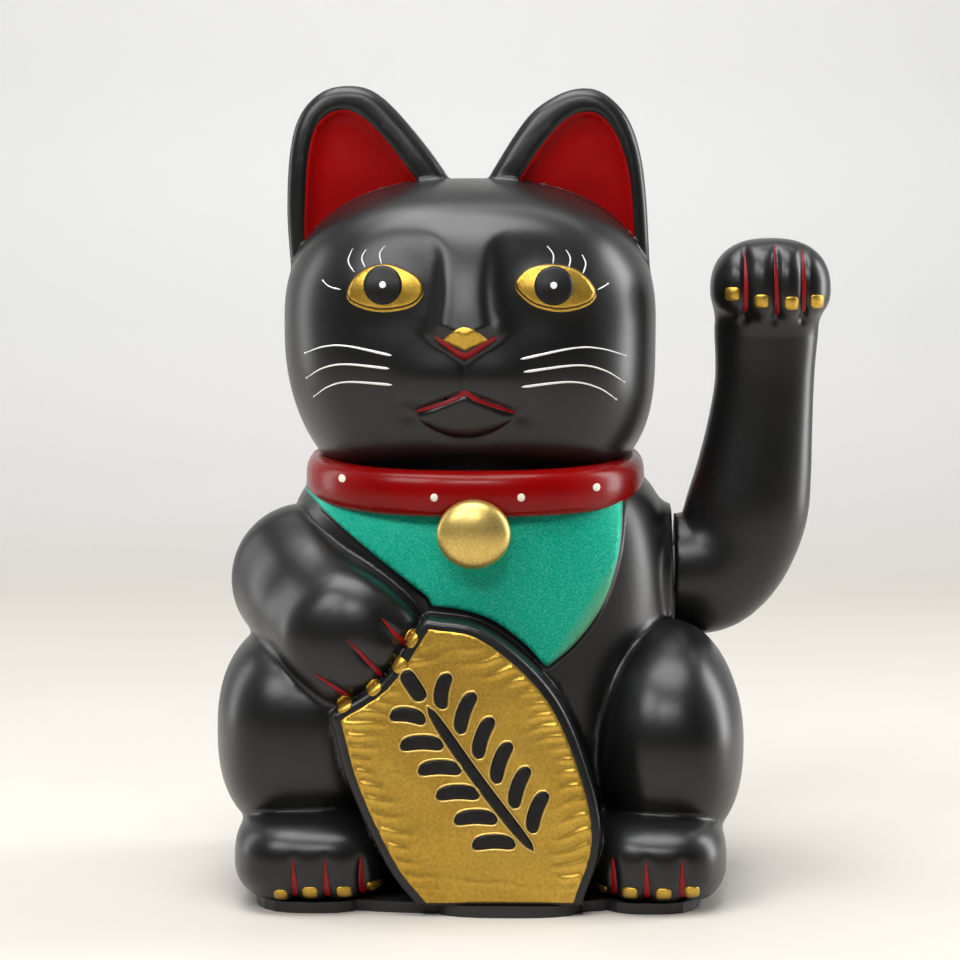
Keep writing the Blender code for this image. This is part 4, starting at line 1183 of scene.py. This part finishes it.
def finish_nodes(black):
    """Materials of the CAD parts that stay as they are, by the record's slot."""
    looks = {
        "dark_plastic": moulded("dark_look", (0.012, 0.012, 0.013), (0.02, 0.02, 0.021), (0.42, 0.58)),
        "white_plastic": moulded("white_plastic_look", (0.66, 0.64, 0.58), (0.76, 0.74, 0.68)),
        "steel": moulded("steel_look", (0.46, 0.47, 0.48), (0.62, 0.63, 0.64), (0.22, 0.4), 1.0, 260, 0.02),
        "nickel": moulded("nickel_look", (0.6, 0.57, 0.5), (0.72, 0.69, 0.62), (0.16, 0.3), 1.0, 260, 0.01),
        "copper": moulded("copper_look", (0.6, 0.22, 0.09), (0.78, 0.32, 0.14), (0.28, 0.42), 1.0, 900, 0.06),
        "bronze": moulded("bronze_look", (0.45, 0.29, 0.11), (0.6, 0.4, 0.17), (0.35, 0.5), 1.0, 900, 0.04),
        "green_board": moulded("board_look", (0.012, 0.12, 0.05), (0.025, 0.19, 0.085), (0.25, 0.45)),
        "cell_label": moulded("cell_look", (0.035, 0.05, 0.14), (0.06, 0.085, 0.22), (0.25, 0.38)),
        "red_wire": moulded("red_wire_look", (0.38, 0.012, 0.012), (0.52, 0.02, 0.02)),
        "black_wire": moulded("black_wire_look", (0.012, 0.012, 0.012), (0.024, 0.024, 0.024)),
        "black_plastic": black,
    }
    slots = {part["node"]: part["material_slot"] for part in frame["record"]["subparts"]}
    for name, node in frame["nodes"].items():
        for material_slot in node.material_slots:
            material_slot.material = looks[slots[name]]


# ---------------------------------------------------------------- stage


def soft_light(name, place_at, aim, size, power):
    """A white rectangular light that points at aim. Metres and watts."""
    data = bpy.data.lights.new(name, "AREA")
    data.shape = "RECTANGLE"
    data.size, data.size_y = size
    data.energy = power
    lamp = bpy.data.objects.new(name, data)
    bpy.context.scene.collection.objects.link(lamp)
    lamp.location = place_at
    lamp.rotation_euler = (Vector(aim) - Vector(place_at)).to_track_quat("-Z", "Y").to_euler()


def build_world():
    """A bright studio that is dimmer behind the camera, so that black surfaces facing it stay deep."""
    world = bpy.data.worlds.new("studio")
    world.use_nodes = True
    tree = world.node_tree
    place = add_node(tree, "TexCoord").outputs["Generated"]
    forward = add_node(tree, "SeparateXYZ", Vector=place).outputs["Y"]
    ends = {"From_Min": -0.6, "From_Max": 0.9, "To_Min": 0.03, "To_Max": 0.7}
    strength = add_node(tree, "MapRange", Value=forward, **ends).outputs["Result"]
    background = tree.nodes["Background"]
    tree.links.new(strength, background.inputs["Strength"])
    background.inputs["Color"].default_value = (0.96, 0.98, 1.0, 1)
    bpy.context.scene.world = world
    bpy.context.scene.view_settings.view_transform = "Standard"


def build_stage():
    """The floor, which curves up into a wall, with the world, the lights and the camera."""
    mesh = bpy.data.meshes.new("floor")
    bm = bmesh.new()
    profile = [(-3, 0), (1.1, 0), (1.4, 0.03), (1.62, 0.14), (1.75, 0.36), (1.8, 0.7), (1.8, 3.2)]
    rows = [[bm.verts.new((x, y, z)) for x in (-4, 4)] for y, z in profile]
    for a, b in zip(rows, rows[1:]):
        bm.faces.new((a[0], a[1], b[1], b[0]))
    bm.to_mesh(mesh)
    bm.free()
    mesh.shade_smooth()
    floor = bpy.data.objects.new("floor", mesh)
    bpy.context.scene.collection.objects.link(floor)
    made = Finish("floor_look", 0.6)
    near = made.ramp(made.noise(3, 3), [(0.3, (0.56, 0.53, 0.48)), (0.7, (0.60, 0.57, 0.52))])
    made.colour(made.mix(near, (0.86, 0.86, 0.86), made.along((0, 1, 0), 900, 1700)))
    made.bump(made.noise(160, 3), 0.05)
    mesh.materials.append(made.material)
    build_world()

    target = (0, 0, 0.16)
    soft_light("key", (-0.75, -0.95, 1.25), target, (0.75, 0.6), 11)
    soft_light("front", (-0.03, -1.15, 1.05), target, (0.4, 0.3), 5)
    soft_light("top", (-0.1, -0.15, 1.4), target, (1.1, 0.7), 17)
    soft_light("right_strip", (1.0, 0.3, 0.45), target, (0.35, 1.0), 9.5)
    soft_light("left_strip", (-1.05, 0.45, 0.4), target, (0.3, 0.9), 2.8)
    soft_light("backdrop", (0, 0.7, 1.9), (0, 1.8, 0.4), (2.4, 0.5), 14)

    camera_data = bpy.data.cameras.new("camera")
    camera_data.lens = 128.3
    camera_data.sensor_width = 36
    camera = bpy.data.objects.new("camera", camera_data)
    bpy.context.scene.collection.objects.link(camera)
    camera.location = (0.025, -1.300, 0.262)
    camera.rotation_euler = (Vector((0, 0, 0.150)) - camera.location).to_track_quat("-Z", "Y").to_euler()
    bpy.context.scene.camera = camera


def main():
    black = satin_black()
    red = red_gloss()
    lines = line_red()
    gold = gold_paint("gold_paint", (0.54, 0.31, 0.038), (0.74, 0.47, 0.08))
    eye_gold = gold_paint("eye_gold", (0.52, 0.30, 0.036), (0.68, 0.43, 0.065))
    bright = gold_paint("bright_gold", (0.70, 0.48, 0.13), (0.85, 0.62, 0.2))
    ink = plain_paint("ink_black", (0.006, 0.006, 0.006), (0.012, 0.011, 0.011))
    brown = plain_paint("outline_brown", (0.03, 0.012, 0.004), (0.06, 0.025, 0.008))
    white = plain_paint("white_paint", (0.86, 0.86, 0.84), (0.93, 0.93, 0.91))
    cream = plain_paint("cream_paint", (0.8, 0.77, 0.64), (0.88, 0.85, 0.74))
    build_shells(black)
    build_ears(ear_red())
    build_collar(red, cream)
    build_bell(bright)
    build_bib(glitter_teal())
    build_eyes(eye_gold, ink, brown, white)
    build_face(lines, eye_gold, white)
    build_toes(lines, gold)
    build_koban(gold, bright, ink)
    finish_nodes(black)
    build_stage()


main()
